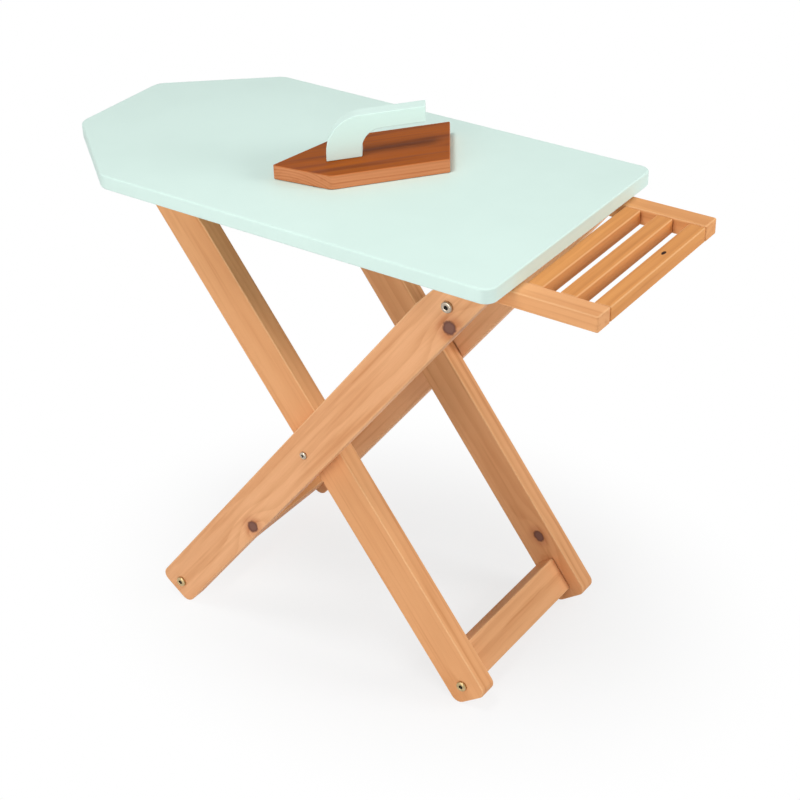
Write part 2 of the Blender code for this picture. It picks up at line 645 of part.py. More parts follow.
def handle_outline():
    """The handle seen from its side: a post that curves over into a bar, open at the back."""
    front, back = HANDLE_FRONT, HANDLE_FRONT + HANDLE_POST_WIDTH
    under = HANDLE_HEIGHT - HANDLE_BAR_HEIGHT
    outer_centre = (front + HANDLE_OUTER_RADIUS, HANDLE_HEIGHT - HANDLE_OUTER_RADIUS)
    inner_centre = (back + HANDLE_INNER_RADIUS, under - HANDLE_INNER_RADIUS)
    outline = [(front, 0), (back, 0)]
    outline += arc(inner_centre, HANDLE_INNER_RADIUS, 180, 90)
    outline += [(HANDLE_BAR_END, under), (HANDLE_BAR_END, HANDLE_HEIGHT)]
    outline += arc(outer_centre, HANDLE_OUTER_RADIUS, 90, 180)
    return outline


def skew_mesh(mesh, slope):
    """Shifts an upright plate along X by this slope, more the further back across the iron a point lies."""
    for vertex in mesh.vertices:
        vertex.co.x -= slope * vertex.co.z


def build_iron(frame):
    """The base and its handle, both skewed by the same slope, and the screws that join them."""
    half = IRON_WIDTH / 2
    outline = rounded([
        (-IRON_NOSE_LENGTH, 0, IRON_NOSE_RADIUS),
        (-IRON_SKEW, -half, IRON_SIDE_RADIUS),
        (IRON_BODY_LENGTH - IRON_SKEW, -half, IRON_BACK_RADIUS),
        (IRON_BODY_LENGTH + IRON_SKEW, half, IRON_BACK_RADIUS),
        (IRON_SKEW, half, IRON_SIDE_RADIUS),
    ])
    base_mesh = plate_mesh("iron_base", outline, IRON_BASE_THICK)
    base = place("iron_base", base_mesh, frame, (0, 0, IRON_BASE_THICK / 2), STAIN)
    ease_edges(base, IRON_EDGE_EASE)
    handle_mesh = plate_mesh("iron_handle", handle_outline(), HANDLE_THICK)
    skew_mesh(handle_mesh, IRON_SKEW / half)
    handle = place("iron_handle", handle_mesh, frame, (0, HANDLE_Y, HANDLE_Z), MINT, (math.pi / 2, 0, 0))
    ease_edges(handle, HANDLE_EDGE_EASE)
    for place_name, share in IRON_SCREW_SHARES.items():
        name = f"iron_screw_{place_name}"
        x, y = HANDLE_FRONT + HANDLE_POST_WIDTH * share, HANDLE_Y
        head_z = SCREW_HEAD_HEIGHT + SEAT_GAP
        tip_z = HANDLE_Z + IRON_SCREW_INTO_HANDLE
        wood_screw(name, tip_z - head_z, frame, (x, y, head_z), (0, 0, -1), STEEL)
        wide = SCREW_HEAD_RADIUS + HOLE_CLEARANCE
        drill(base, name + "_seat", wide, (x, y, -CUT_OVERRUN), (x, y, head_z + HOLE_CLEARANCE))
        way = SCREW_RADIUS + HOLE_CLEARANCE
        drill(base, name + "_way", way, (x, y, -CUT_OVERRUN), (x, y, IRON_BASE_THICK + CUT_OVERRUN))
        drill(handle, name + "_hold", way, (x, y, HANDLE_Z - CUT_OVERRUN), (x, y, tip_z + HOLE_CLEARANCE))


def main():
    board_frame = new_frame("board_frame", (0, 0, 0))
    board = build_board(board_frame)
    rails = build_rack(board_frame)
    build_supports(board_frame, board, rails)
    build_outer_frame(new_frame("outer_leg_pivot", PIVOT, OUTER_LEAN))
    build_inner_frame(new_frame("inner_leg_pivot", CENTRE, INNER_LEAN))
    build_iron(new_frame("iron_place", (IRON_X, IRON_Y, IRON_Z), turn=IRON_TURN))


main()
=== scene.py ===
"""Looks of a toy ironing board: a painted board on crossed pine legs, with a slatted rest and a loose iron.

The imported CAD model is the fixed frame, in metres with +Z up. Each visible piece is worked out with numpy as
a surface in the place of the CAD node that it stands for. Pegs and threaded inserts, which are hidden inside
the wood, keep their CAD shape and get a finish. "near" is the -Y side and "far" the +Y side.
"""

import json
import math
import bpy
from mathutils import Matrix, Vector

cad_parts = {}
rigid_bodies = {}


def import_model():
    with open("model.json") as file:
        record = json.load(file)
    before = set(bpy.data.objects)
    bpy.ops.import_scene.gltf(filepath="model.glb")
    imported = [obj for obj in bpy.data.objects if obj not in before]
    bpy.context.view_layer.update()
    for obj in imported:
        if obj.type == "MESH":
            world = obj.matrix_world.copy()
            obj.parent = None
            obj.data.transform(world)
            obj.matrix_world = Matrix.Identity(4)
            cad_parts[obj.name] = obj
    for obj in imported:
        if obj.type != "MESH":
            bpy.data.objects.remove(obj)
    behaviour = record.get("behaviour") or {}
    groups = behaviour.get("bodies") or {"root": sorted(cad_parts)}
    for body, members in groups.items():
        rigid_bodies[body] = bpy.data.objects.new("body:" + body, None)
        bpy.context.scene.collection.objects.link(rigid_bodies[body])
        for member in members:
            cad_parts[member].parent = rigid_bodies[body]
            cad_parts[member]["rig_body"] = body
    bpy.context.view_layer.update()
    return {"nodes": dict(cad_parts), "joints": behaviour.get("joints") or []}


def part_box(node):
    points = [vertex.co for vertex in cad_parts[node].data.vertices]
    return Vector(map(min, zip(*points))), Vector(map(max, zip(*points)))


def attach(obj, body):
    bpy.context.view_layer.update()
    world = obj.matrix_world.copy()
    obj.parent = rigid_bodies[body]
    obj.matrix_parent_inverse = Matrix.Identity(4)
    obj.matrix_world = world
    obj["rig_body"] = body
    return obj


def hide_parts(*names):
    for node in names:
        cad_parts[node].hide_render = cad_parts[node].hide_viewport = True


bl_info = {
    "name": "Toy Ironing Board",
    "version": (1, 0, 0),
    "blender": (4, 5, 0),
    "location": "View3D > Sidebar > Ironing Board",
    "description": "Builds the shapes and finishes of a toy ironing board and its iron",
    "category": "Object",
}

from collections import namedtuple
from functools import cache

import bpy
import numpy as np
from bpy.props import FloatProperty, FloatVectorProperty, PointerProperty
from mathutils import Matrix, Vector

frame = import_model()

SIDES = {"near": -1, "far": 1}
PANEL_TAB = "Ironing Board"

# Points in an outline's arc, in the quarter circle of a rounded edge, and round a turned piece.
ARC_STEPS = 12
EASE_STEPS = 6
TURN_STEPS = 72
SHARP_ANGLE = math.radians(35)
# A bar's upright corners are this much rounder than its edges, so that the rim never closes to a point.
BAR_CORNER = 1.2
# How far the middle of an eased end is from the end and from the side, as a share of the ease.
EASE_MIDDLE = 0.3
# The height between two rings of a turned piece that meet in a sharp corner, in metres.
RING_GAP = 1e-5
# The least sine by which the edges of a cross or a slot are divided.
LEAST_SINE = 1e-6
# Holes as shares of what goes into them, and how far a washer's bore clears its shank, in metres.
SCREW_HOLE = 1.04
NUT_POCKET = 1.06
WASHER_SLACK = 0.0004
# The seed and the number of the random turns of bolt and screw heads.
HEAD_TURN_SEED = 7
HEAD_TURNS = 32
# The distance between the pieces along the log, in metres.
LOG_SPACING = 1.0
# The Mix node's sockets for colours: share, first colour, second colour and result.
MIX_SHARE = 0
MIX_FIRST = 6
MIX_SECOND = 7
MIX_RESULT = 2


class Place:
    """A rigid group's own axes: an origin and the directions of x, y and z, one in each row."""

    def __init__(self, origin, axes):
        self.origin = np.array(origin, float)
        self.axes = np.array(axes, float)

    def outward(self, points):
        """From the group's own axes to the shared frame."""
        return points @ self.axes + self.origin

    def inward(self, points):
        """From the shared frame to the group's own axes."""
        return (points - self.origin) @ self.axes.T


def leaning(origin, lean):
    """Axes turned about Y, so that z leans towards +X."""
    cos, sin = math.cos(lean), math.sin(lean)
    return Place(origin, ((cos, 0, -sin), (0, 1, 0), (sin, 0, cos)))


def turned_flat(origin, turn):
    """Axes turned about Z."""
    cos, sin = math.cos(turn), math.sin(turn)
    return Place(origin, ((cos, sin, 0), (-sin, cos, 0), (0, 0, 1)))


def pointing(origin, axis, turn):
    """Axes whose z runs along the given direction, turned about it."""
    z = np.array(axis, float)
    x = np.cross(z, (0, 0, 1) if abs(z[2]) < 0.5 else (0, 1, 0))
    y = np.cross(z, x)
    cos, sin = math.cos(turn), math.sin(turn)
    return Place(origin, (cos * x + sin * y, cos * y - sin * x, z))


def node_points(node):
    """A CAD node's vertices, in the shared frame."""
    vertices = frame["nodes"][node].data.vertices
    points = np.empty(len(vertices) * 3, np.float32)
    vertices.foreach_get("co", points)
    return points.reshape(-1, 3).astype(float)


def extent(node, place):
    """The lowest and highest corner of a CAD node, in a group's own axes."""
    points = place.inward(node_points(node))
    return points.min(0), points.max(0)


def middle(node):
    """The middle of a CAD node's box."""
    low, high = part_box(node)
    return np.array((low + high) / 2)


def joint_point(name):
    """The point that a joint turns about, in the shared frame."""
    return np.array(next(joint["pos_m"] for joint in frame["joints"] if joint["name"] == name), float)


def iron_place():
    """The iron's axes: x runs from its front screw to its back one, and y from the middle of its base."""
    front = middle("iron_screw_front")
    line = middle("iron_screw_back") - front
    turn = math.atan2(line[1], line[0])
    screwed = turned_flat((front[0], front[1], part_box("iron_base")[0].z), turn)
    low, high = extent("iron_base", screwed)
    return turned_flat(screwed.outward(np.array((0, (low[1] + high[1]) / 2, 0))), turn)


PIVOT = joint_point("leg_fold")
CENTRE = joint_point("leg_cross")
INNER_TOP = middle("inner_top_bar")
OUTER_LEAN = math.atan2(PIVOT[0] - CENTRE[0], PIVOT[2] - CENTRE[2])
INNER_LEAN = math.atan2(INNER_TOP[0] - CENTRE[0], INNER_TOP[2] - CENTRE[2])
INNER_RISE = float(np.linalg.norm(INNER_TOP - CENTRE))
BOARD = leaning((0, 0, 0), 0)
OUTER = leaning(PIVOT, OUTER_LEAN)
INNER = leaning(CENTRE, INNER_LEAN)
IRON = iron_place()

# Each wooden piece: the axes it lies in, which of them its grain follows, where in the log it was cut, and
# how pale it is, partly its own tone and partly painted light that lifts pieces lying in shade, most of all
# the far outer leg. The log's heart is the first axis, and the cut gives the piece's middle on the other two.
Timber = namedtuple("Timber", "place along cut pale")
TIMBERS = {
    "outer_leg_near": Timber(OUTER, 2, (0.030, -0.055), 0.93),
    "outer_leg_far": Timber(OUTER, 2, (-0.020, 0.062), 1.0),
    "inner_leg_near": Timber(INNER, 2, (0.012, -0.070), 0.6),
    "inner_leg_far": Timber(INNER, 2, (-0.034, -0.058), 0.7),
    "outer_foot_stretcher": Timber(OUTER, 1, (0.024, 0.050), 0.5),
    "inner_foot_stretcher": Timber(INNER, 1, (0.035, 0.035), 0.7),
    "rack_rail_near": Timber(BOARD, 0, (0.010, 0.040), 0.52),
    "rack_rail_far": Timber(BOARD, 0, (-0.014, 0.044), 0.3),
    "rack_slat_inner": Timber(BOARD, 1, (0.014, 0.046), 0.0),
    "rack_slat_middle": Timber(BOARD, 1, (-0.010, 0.052), 0.0),
    "rack_slat_outer": Timber(BOARD, 1, (0.020, 0.044), 0.0),
    "pivot_cleat_near": Timber(BOARD, 0, (0.028, 0.030), 0.4),
    "pivot_cleat_far": Timber(BOARD, 0, (-0.028, 0.034), 0.4),
    "inner_top_bar": Timber(INNER, 1, (0.004, 0.030), 0.48),
    "iron_base": Timber(IRON, 0, (0.012, 0.046), 0.0),
}
# Knots and specks: the piece, a point of the shared frame where it shows on the piece's face, and its radius.
KNOTS = (
    ("outer_leg_near", (0.1786, -0.1297, 0.4443), 0.0062),
    ("outer_leg_near", (-0.0651, -0.1297, 0.1377), 0.0060),
    ("inner_leg_far", (0.1428, 0.0882, 0.0739), 0.0056),
)
SPECKS = (("rack_slat_outer", (0.3032, 0.0226, 0.4842), 0.0019),)


def log_points(node, points):
    """Where points of a wooden piece lay in the log, from their places in the shared frame.

    A point is measured from the piece's middle, along its grain and across it, and moved to where the piece
    was cut. The pieces lie one after the other along the log, so no two share a figure.
    """
    timber = TIMBERS[node]
    low, high = extent(node, timber.place)
    local = timber.place.inward(points) - (low + high) / 2
    grain_first = np.roll(local, -timber.along, axis=-1)
    return grain_first + np.array((LOG_SPACING * list(TIMBERS).index(node), *timber.cut))


def settings():
    """The sizes and finishes that are set in the scene."""
    return bpy.context.scene.ironing_board


def linear(red, green, blue):
    """A colour in scene light from its values on screen, 0 to 255, by the sRGB curve."""
    screen = np.array((red, green, blue)) / 255
    light = np.where(screen <= 0.04045, screen / 12.92, ((screen + 0.055) / 1.055) ** 2.4)
    return tuple(float(value) for value in light)


def length_property(name, description, default):
    return FloatProperty(
        name=name, description=description, default=default, min=0, precision=4, unit="LENGTH",
    )


def share_property(name, description, default):
    return FloatProperty(
        name=name, description=description, default=default, min=0, max=1, subtype="FACTOR",
    )


def colour_property(name, description, default):
    return FloatVectorProperty(
        name=name, description=description, default=default, min=0, max=1, subtype="COLOR",
    )


class BoardSizes(bpy.types.PropertyGroup):
    """The painted board's shape."""

    nose_length: length_property("Nose length", "Length of the sloping sides of the nose", 0.1035)
    tip_width: length_property("Tip width", "Width of the straight edge at the tip", 0.1165)
    nose_radius: length_property("Nose radius", "Rounding of the nose's four corners", 0.018)
    corner_radius: length_property("Corner radius", "Rounding of the two corners by the rest", 0.012)
    edge_radius: length_property("Edge radius", "Rounding of the upper and lower edges", 0.0017)


class WoodSizes(bpy.types.PropertyGroup):
    """The pine pieces' shape."""

    edge_radius: length_property("Edge radius", "Rounding along the edges of legs, rails and slats", 0.0015)
    foot_radius: length_property("Foot radius", "Rounding of the legs' lower corners", 0.0095)
    top_radius: length_property("Top radius", "Rounding of the legs' tops on the side that folds up", 0.0194)
    top_taper: FloatProperty(
        name="Top taper", description="Slant of the leg's side below its rounded top",
        default=math.radians(5.6), subtype="ANGLE",
    )
    peak_radius: length_property("Peak radius", "Rounding of the leg's pointed upper corner", 0.002)
    shoulder_radius: length_property("Shoulder radius", "Rounding where the slant meets the leg's side", 0.03)


class IronSizes(bpy.types.PropertyGroup):
    """The toy iron's shape."""

    width: length_property("Width", "Width of the base", 0.0835)
    body_length: length_property("Body length", "Length of the base's straight sides", 0.115)
    nose_length: length_property("Nose length", "Length of the base's pointed nose", 0.059)
    skew: length_property("Skew", "How far the base's corners are shifted forwards and back", 0.013)
    nose_radius: length_property("Nose radius", "Rounding of the base's tip", 0.002)
    side_radius: length_property("Side radius", "Rounding of the corners behind the nose", 0.008)
    back_radius: length_property("Back radius", "Rounding of the two back corners", 0.0015)
    edge_radius: length_property("Edge radius", "Rounding of the base's edges", 0.0008)
    post_width: length_property("Post width", "Width of the handle's upright", 0.0345)
    outer_radius: length_property("Outer radius", "Curve over the handle's front", 0.0335)
    inner_radius: length_property("Inner radius", "Curve inside the handle", 0.0185)
    bar_height: length_property("Bar height", "Height of the handle's bar", 0.0158)
    handle_corner: length_property("Handle corner", "Rounding of the handle's square corners", 0.0009)
    handle_edge: length_property("Handle edge", "Rounding along the handle's edges", 0.0007)


class FastenerSizes(bpy.types.PropertyGroup):
    """The bolts', screws' and nuts' shape."""

    bolt_radius: length_property("Bolt radius", "Radius of a bolt's shank", 0.003)
    bolt_head: length_property("Bolt head", "Height of a bolt's head", 0.003)
    socket_radius: length_property("Socket radius", "Radius of the hexagon socket, over its corners", 0.0023)
    socket_depth: length_property("Socket depth", "Depth of the hexagon socket", 0.002)
    screw_radius: length_property("Screw radius", "Radius of a screw's shank", 0.002)
    screw_head: length_property("Screw head", "Height of a screw's head", 0.0022)
    recess_length: length_property("Recess length", "Length of the cross recess, from tip to tip", 0.0042)
    recess_width: length_property("Recess width", "Width of the cross recess", 0.001)
    recess_depth: length_property("Recess depth", "Depth of the cross recess", 0.0014)


class PaintFinish(bpy.types.PropertyGroup):
    """The mint paint."""

    colour: colour_property("Colour", "Paint on the board and the handle", linear(218, 241, 233))
    # Darker than the paint: painted shade that tones down the highlight on the rounded edges.
    edge_colour: colour_property("Edge colour", "Paint along the rounded edges", linear(206, 230, 222))
    mottling: share_property("Mottling", "Strength of the paint's soft unevenness", 0.035)
    roughness: share_property("Roughness", "Roughness of the paint film", 0.5)


class PineFinish(bpy.types.PropertyGroup):
    """The varnished pine."""

    early: colour_property("Early wood", "Pale wood between the year rings", linear(227, 160, 96))
    pale: colour_property("Pale wood", "Wood between the rings in the palest pieces", linear(245, 188, 141))
    late: colour_property("Late wood", "Darker wood of the year rings", linear(190, 116, 60))
    knot: colour_property("Knot", "Heart of a knot", linear(130, 92, 80))
    knot_rim: colour_property("Knot rim", "Dark rim of a knot", linear(96, 58, 48))
    halo: colour_property("Halo", "Wood close round a knot", linear(190, 116, 82))
    # Paler than the wood: rubbed wood together with a painted highlight along the rounded edges.
    edge_colour: colour_property("Edge colour", "Rubbed wood along the rounded edges", linear(246, 200, 150))
    ring_width: length_property("Ring width", "Distance between year rings", 0.0085)
    roughness: share_property("Roughness", "Roughness of the varnish", 0.52)


class SoleFinish(bpy.types.PropertyGroup):
    """The iron's stained base."""

    side: colour_property("Side", "Stained wood on the base's sides", linear(213, 141, 96))
    side_late: colour_property("Side rings", "Year rings on the base's sides", linear(176, 98, 56))
    top: colour_property("Top", "Stained wood on the base's upper face", linear(163, 82, 12))
    top_late: colour_property("Top rings", "Year rings on the base's upper face", linear(138, 68, 16))
    streak: colour_property("Streak", "Dark streaks along the upper face", linear(120, 56, 18))
    edge_colour: colour_property("Edge colour", "Stain rubbed along the edges", linear(222, 142, 92))
    ring_width: length_property("Ring width", "Distance between year rings", 0.0028)
    roughness: share_property("Roughness", "Roughness of the stain", 0.5)


class MetalFinish(bpy.types.PropertyGroup):
    """Fasteners and pegs."""

    steel: colour_property("Steel", "Colour of screws, washers and pivot bolts", linear(192, 178, 160))
    zinc: colour_property("Yellow zinc", "Colour of the foot bolts and nuts", linear(200, 174, 132))
    zinc_tint: colour_property("Zinc tint", "Greenish sheen in the yellow zinc", linear(178, 158, 112))
    beech_early: colour_property("Beech", "Colour of the pegs", linear(222, 190, 148))
    beech_late: colour_property("Beech rays", "Darker flecks in the pegs", linear(188, 146, 102))


class StageSettings(bpy.types.PropertyGroup):
    """The floor, the lamps and the camera."""

    floor_colour: colour_property("Floor", "Colour of the floor", (0.75, 0.75, 0.75))
    floor_lift: share_property("Floor lift", "How far the shadow seen on it is lifted to white", 0.74)
    ambient: share_property("Ambient", "Strength of the light from all round", 0.25)
    key: share_property("Key", "Strength of the small lamp high in front", 0.41)
    side: share_property("Side", "Strength of the lamp on the right, a little above the board", 0.49)
    fill: share_property("Fill", "Strength of the large lamp low in front", 0.53)
    camera_place: FloatVectorProperty(
        name="Camera", description="Where the camera stands",
        default=(0.9488, -1.2789, 1.2355), subtype="TRANSLATION",
    )
    camera_target: FloatVectorProperty(
        name="Target", description="What the camera looks at",
        default=(0.0306, 0, 0.2531), subtype="TRANSLATION",
    )
    camera_roll: FloatProperty(name="Roll", description="Tilt of the camera", default=0.0305, subtype="ANGLE")
    lens: FloatProperty(name="Lens", description="Focal length in millimetres", default=83.014, min=1)


class IroningBoardSettings(bpy.types.PropertyGroup):
    """All sizes and finishes of the toy ironing board."""

    board: PointerProperty(type=BoardSizes)
    wood: PointerProperty(type=WoodSizes)
    iron: PointerProperty(type=IronSizes)
    fasteners: PointerProperty(type=FastenerSizes)
    paint: PointerProperty(type=PaintFinish)
    pine: PointerProperty(type=PineFinish)
    sole: PointerProperty(type=SoleFinish)
    metal: PointerProperty(type=MetalFinish)
    stage: PointerProperty(type=StageSettings)


def unit(vectors):
    """Each vector over its own length."""
    return vectors / np.linalg.norm(vectors, axis=-1, keepdims=True)


def rounded_outline(corners):
    """A closed outline through (x, y, radius) corners, with an arc at each.

    An arc's centre lies on the corner's bisector, radius / sin(half angle) from the corner. The arc meets the
    two sides radius / tan(half angle) from the corner and runs the short way round between those points.
    """
    corners = np.array(corners, float)
    tip, radius = corners[:, :2], corners[:, 2:]
    back = unit(np.roll(tip, 1, 0) - tip)
    ahead = unit(np.roll(tip, -1, 0) - tip)
    half = np.arccos((back * ahead).sum(1, keepdims=True)) / 2
    centre = tip + unit(back + ahead) * radius / np.sin(half)
    first = tip + back * radius / np.tan(half) - centre
    last = tip + ahead * radius / np.tan(half) - centre
    start = np.arctan2(first[:, 1:], first[:, :1])
    sweep = np.arctan2(last[:, 1:], last[:, :1]) - start
    sweep = (sweep + math.pi) % math.tau - math.pi
    angle = start + sweep * np.linspace(0, 1, ARC_STEPS)
    arcs = centre[:, None] + radius[:, None] * np.stack((np.cos(angle), np.sin(angle)), -1)
    return arcs.reshape(-1, 2)


def slab(outline, low, high, ease):
    """A flat piece with rounded rims: the outline carried along an edge profile, from low face to high face.

    The profile is a quarter circle, a straight edge and a quarter circle. At angle t on a quarter circle the
    outline is drawn in along its normal by ease * (1 - cos t), and is ease * sin t above the circle's centre.
    Returns the rows of points and, for each row, its place on the rim: 0 at the faces, 1 half-way round.
    """
    quarter = np.linspace(0, math.pi / 2, EASE_STEPS)
    angle = np.concatenate((-quarter[::-1], quarter))
    seat = np.repeat((low + ease, high - ease), EASE_STEPS)
    height = seat + ease * np.sin(angle)
    inset = ease * (1 - np.cos(angle))
    side = unit(np.roll(outline, -1, 0) - outline)
    before = np.roll(side, 1, 0)
    normal = unit(np.stack((side[:, 1] + before[:, 1], -side[:, 0] - before[:, 0]), -1))
    flat = outline[None] - inset[:, None, None] * normal[None]
    tall = np.broadcast_to(height[:, None, None], (*flat.shape[:2], 1))
    rim = np.sin(2 * np.abs(angle))
    return np.concatenate((flat, tall), -1), rim


def upright(rows):
    """Stands a flat slab up: its outline's second axis becomes z, and its thickness runs along -y."""
    return np.stack((rows[..., 0], -rows[..., 2], rows[..., 1]), -1)


def lathe(profile, outline=None):
    """A turned piece: rings of the given (radius, height) points, from its lower end to its upper end.

    A third number in a point turns its ring from a circle, at 0, into the given outline, at 1. The outline is
    the distance from the axis as a share of the ring's radius, for every angle of the ring.
    """
    profile = np.array([(*point, 0)[:3] for point in profile], float)
    angle = np.linspace(0, math.tau, TURN_STEPS, endpoint=False)
    shape = np.ones(TURN_STEPS) if outline is None else outline(angle)
    reach = profile[:, :1] * (1 + profile[:, 2:] * (shape - 1))
    tall = np.broadcast_to(profile[:, 1:2], reach.shape)
    return np.stack((reach * np.cos(angle), reach * np.sin(angle), tall), -1)


def hexagon(angle):
    """A hexagon's edge: cos 30 / cos of the angle from the middle of the nearest side."""
    sixth = math.tau / 6
    return math.cos(sixth / 2) / np.cos(angle % sixth - sixth / 2)


def cross(width_share):
    """A cross's edge: the arm's end, 1 / cos of the angle from the arm, or its side, half the width / sin."""
    def edge(angle):
        quarter = math.tau / 4
        off = np.abs((angle + quarter / 2) % quarter - quarter / 2)
        return np.minimum(1 / np.cos(off), width_share / np.maximum(np.sin(off), LEAST_SINE))
    return edge


def slot(width_share):
    """A slot's edge: its end, at 1, or its side, half the width / sin of the angle from the slot."""
    def edge(angle):
        return np.minimum(1, width_share / np.maximum(np.abs(np.sin(angle)), LEAST_SINE))
    return edge


def grid_faces(rows, columns, ring=False):
    """Faces of a grid whose columns close on themselves: quads between rows, and a face over each open end.

    A ring's last row joins its first one instead.
    """
    row = np.arange(rows if ring else rows - 1)[:, None]
    column = np.arange(columns)[None]
    above = (row + 1) % rows
    beside = (column + 1) % columns
    corners = np.broadcast_arrays(
        row * columns + column, row * columns + beside, above * columns + beside, above * columns + column,
    )
    faces = np.stack(corners, -1).reshape(-1, 4).tolist()
    if not ring:
        faces.append(list(range(columns))[::-1])
        faces.append(list(range((rows - 1) * columns, rows * columns)))
    return faces


def grid_mesh(name, rows, ring=False):
    """A mesh from rows of points, each of which closes on itself."""
    mesh = bpy.data.meshes.new(name)
    mesh.from_pydata(rows.reshape(-1, 3), [], grid_faces(*rows.shape[:2], ring))
    return mesh


def bored(mesh, holes):
    """The mesh with round holes: each is a start, an end and a radius, in the shared frame."""
    if not holes:
        return mesh
    item = bpy.data.objects.new(mesh.name, mesh)
    bpy.context.scene.collection.objects.link(item)
    cutters = []
    for start, end, radius in holes:
        start, end = np.array(start), np.array(end)
        depth = np.linalg.norm(end - start)
        place = pointing(start, (end - start) / depth, 0)
        drill = grid_mesh("drill", place.outward(lathe(((radius, 0), (radius, depth)))))
        cutter = bpy.data.objects.new("drill", drill)
        bpy.context.scene.collection.objects.link(cutter)
        boolean = item.modifiers.new("hole", "BOOLEAN")
        boolean.solver = "EXACT"
        boolean.object = cutter
        cutters.append(cutter)
    shaped = item.evaluated_get(bpy.context.evaluated_depsgraph_get())
    result = bpy.data.meshes.new_from_object(shaped)
    for used in (item, *cutters):
        used_mesh = used.data
        bpy.data.objects.remove(used)
        bpy.data.meshes.remove(used_mesh)
    return result


def set_attribute(mesh, name, kind, field, values):
    """Writes a value for each point of a mesh."""
    layer = mesh.attributes.get(name) or mesh.attributes.new(name, kind, "POINT")
    layer.data.foreach_set(field, np.ascontiguousarray(values, np.float32).ravel())


def add_piece(node, rows, place, finish, rim=None, ring=False, holes=()):
    """Makes the piece that stands for a CAD node, with its finish, and lets it ride on the node's body."""
    name = node + "_finished"
    mesh = grid_mesh(name, place.outward(rows), ring)
    if rim is not None:
        set_attribute(mesh, "rim", "FLOAT", "value", np.repeat(rim, rows.shape[1]))
    mesh = bored(mesh, holes)
    mesh.name = name
    if node in TIMBERS:
        points = np.empty(len(mesh.vertices) * 3, np.float32)
        mesh.vertices.foreach_get("co", points)
        set_attribute(mesh, "log", "FLOAT_VECTOR", "vector", log_points(node, points.reshape(-1, 3)))
        set_attribute(mesh, "pale", "FLOAT", "value", np.full(len(mesh.vertices), TIMBERS[node].pale))
    mesh.materials.clear()
    mesh.materials.append(finish)
    mesh.shade_smooth()
    mesh.set_sharp_from_angle(angle=SHARP_ANGLE)
    piece = bpy.data.objects.new(name, mesh)
    bpy.context.scene.collection.objects.link(piece)
    flat = piece.modifiers.new("flat_faces", "WEIGHTED_NORMAL")
    flat.keep_sharp = True
    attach(piece, frame["nodes"][node]["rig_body"])
    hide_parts(node)
    return piece


class Nodes:
    """Adds shader nodes to a tree and joins them."""

    def __init__(self, tree):
        self.tree = tree

    def add(self, kind, sockets=None, **options):
        node = self.tree.nodes.new(kind)
        for option, value in options.items():
            setattr(node, option, value)
        for socket, value in (sockets or {}).items():
            self.put(node.inputs[socket], value)
        return node

    def put(self, socket, value):
        if isinstance(value, bpy.types.NodeSocket):
            self.tree.links.new(value, socket)
        elif socket.type == "RGBA" and len(value) == 3:
            socket.default_value = (*value, 1)
        else:
            socket.default_value = value

    def math(self, operation, *values):
        return self.add("ShaderNodeMath", dict(enumerate(values)), operation=operation).outputs[0]

    def vector(self, operation, *values):
        node = self.add("ShaderNodeVectorMath", dict(enumerate(values)), operation=operation)
        return node.outputs["Value" if operation == "LENGTH" else "Vector"]

    def step(self, value, low, high, start=0.0, end=1.0):
        """Rises smoothly from start, at low, to end, at high."""
        sockets = {"Value": value, "From Min": low, "From Max": high, "To Min": start, "To Max": end}
        return self.add("ShaderNodeMapRange", sockets, interpolation_type="SMOOTHSTEP").outputs["Result"]

    def fall(self, value, low, high):
        """Falls smoothly from 1, at low, to 0, at high."""
        return self.step(value, low, high, 1.0, 0.0)

    def blend(self, share, first, second):
        """A colour on the way from the first one, at share 0, to the second one, at 1."""
        sockets = {MIX_SHARE: share, MIX_FIRST: first, MIX_SECOND: second}
        return self.add("ShaderNodeMix", sockets, data_type="RGBA").outputs[MIX_RESULT]

    def noise(self, place, scale, detail=2.0, output="Fac"):
        """Cloudy noise, with its own scale along each axis."""
        stretched = self.vector("MULTIPLY", place, scale)
        node = self.add("ShaderNodeTexNoise", {"Vector": stretched, "Scale": 1.0, "Detail": detail})
        return node.outputs[output]


def shader_group(name, inputs, outputs):
    """An empty node group with these sockets, its nodes, its input sockets and its output node."""
    group = bpy.data.node_groups.new(name, "ShaderNodeTree")
    for label, kind, default in inputs:
        socket = group.interface.new_socket(label, in_out="INPUT", socket_type="NodeSocket" + kind)
        socket.default_value = (*default, 1) if kind == "Color" else default
    for label, kind in outputs:
        group.interface.new_socket(label, in_out="OUTPUT", socket_type="NodeSocket" + kind)
    nodes = Nodes(group)
    given = nodes.add("NodeGroupInput").outputs
    return group, nodes, given, nodes.add("NodeGroupOutput").inputs


# Noise in timber, in waves per metre along the grain and in the two directions across it.
SWAY_WAVES = (2.4, 8, 8)
WOBBLE_WAVES = (14, 90, 90)
FIBRE_WAVES = (50, 1500, 1500)
STREAK_WAVES = (7, 210, 210)
TONE_WAVES = (5, 34, 34)
# How far the rings sway, in metres, and how far they wobble, in rings.
RING_SWAY = (0, 0.016, 0.016)
RING_WOBBLE = 0.5
# Where in a ring the late wood starts, is deepest and has ended.
LATE_START = 0.25
LATE_PEAK = 0.9
LATE_END = 1.0
# The depth of the faintest year's late wood, and how much deeper the strongest year's is.
YEAR_LEAST = 0.3
YEAR_SPREAD = 0.7
STREAK_EDGE = (0.5, 0.8)
# What fibres, streaks and tone add to the share of late colour, and what is taken off to keep it centred.
FIBRE_SHARE = 0.22
STREAK_SHARE = 0.26
TONE_SHARE = 0.6
SHARE_OFFSET = 0.26
GRAIN_HEIGHT = 0.5
NOISE_MIDDLE = (0.5, 0.5, 0.5)
ACROSS_GRAIN = (0, 1, 1)


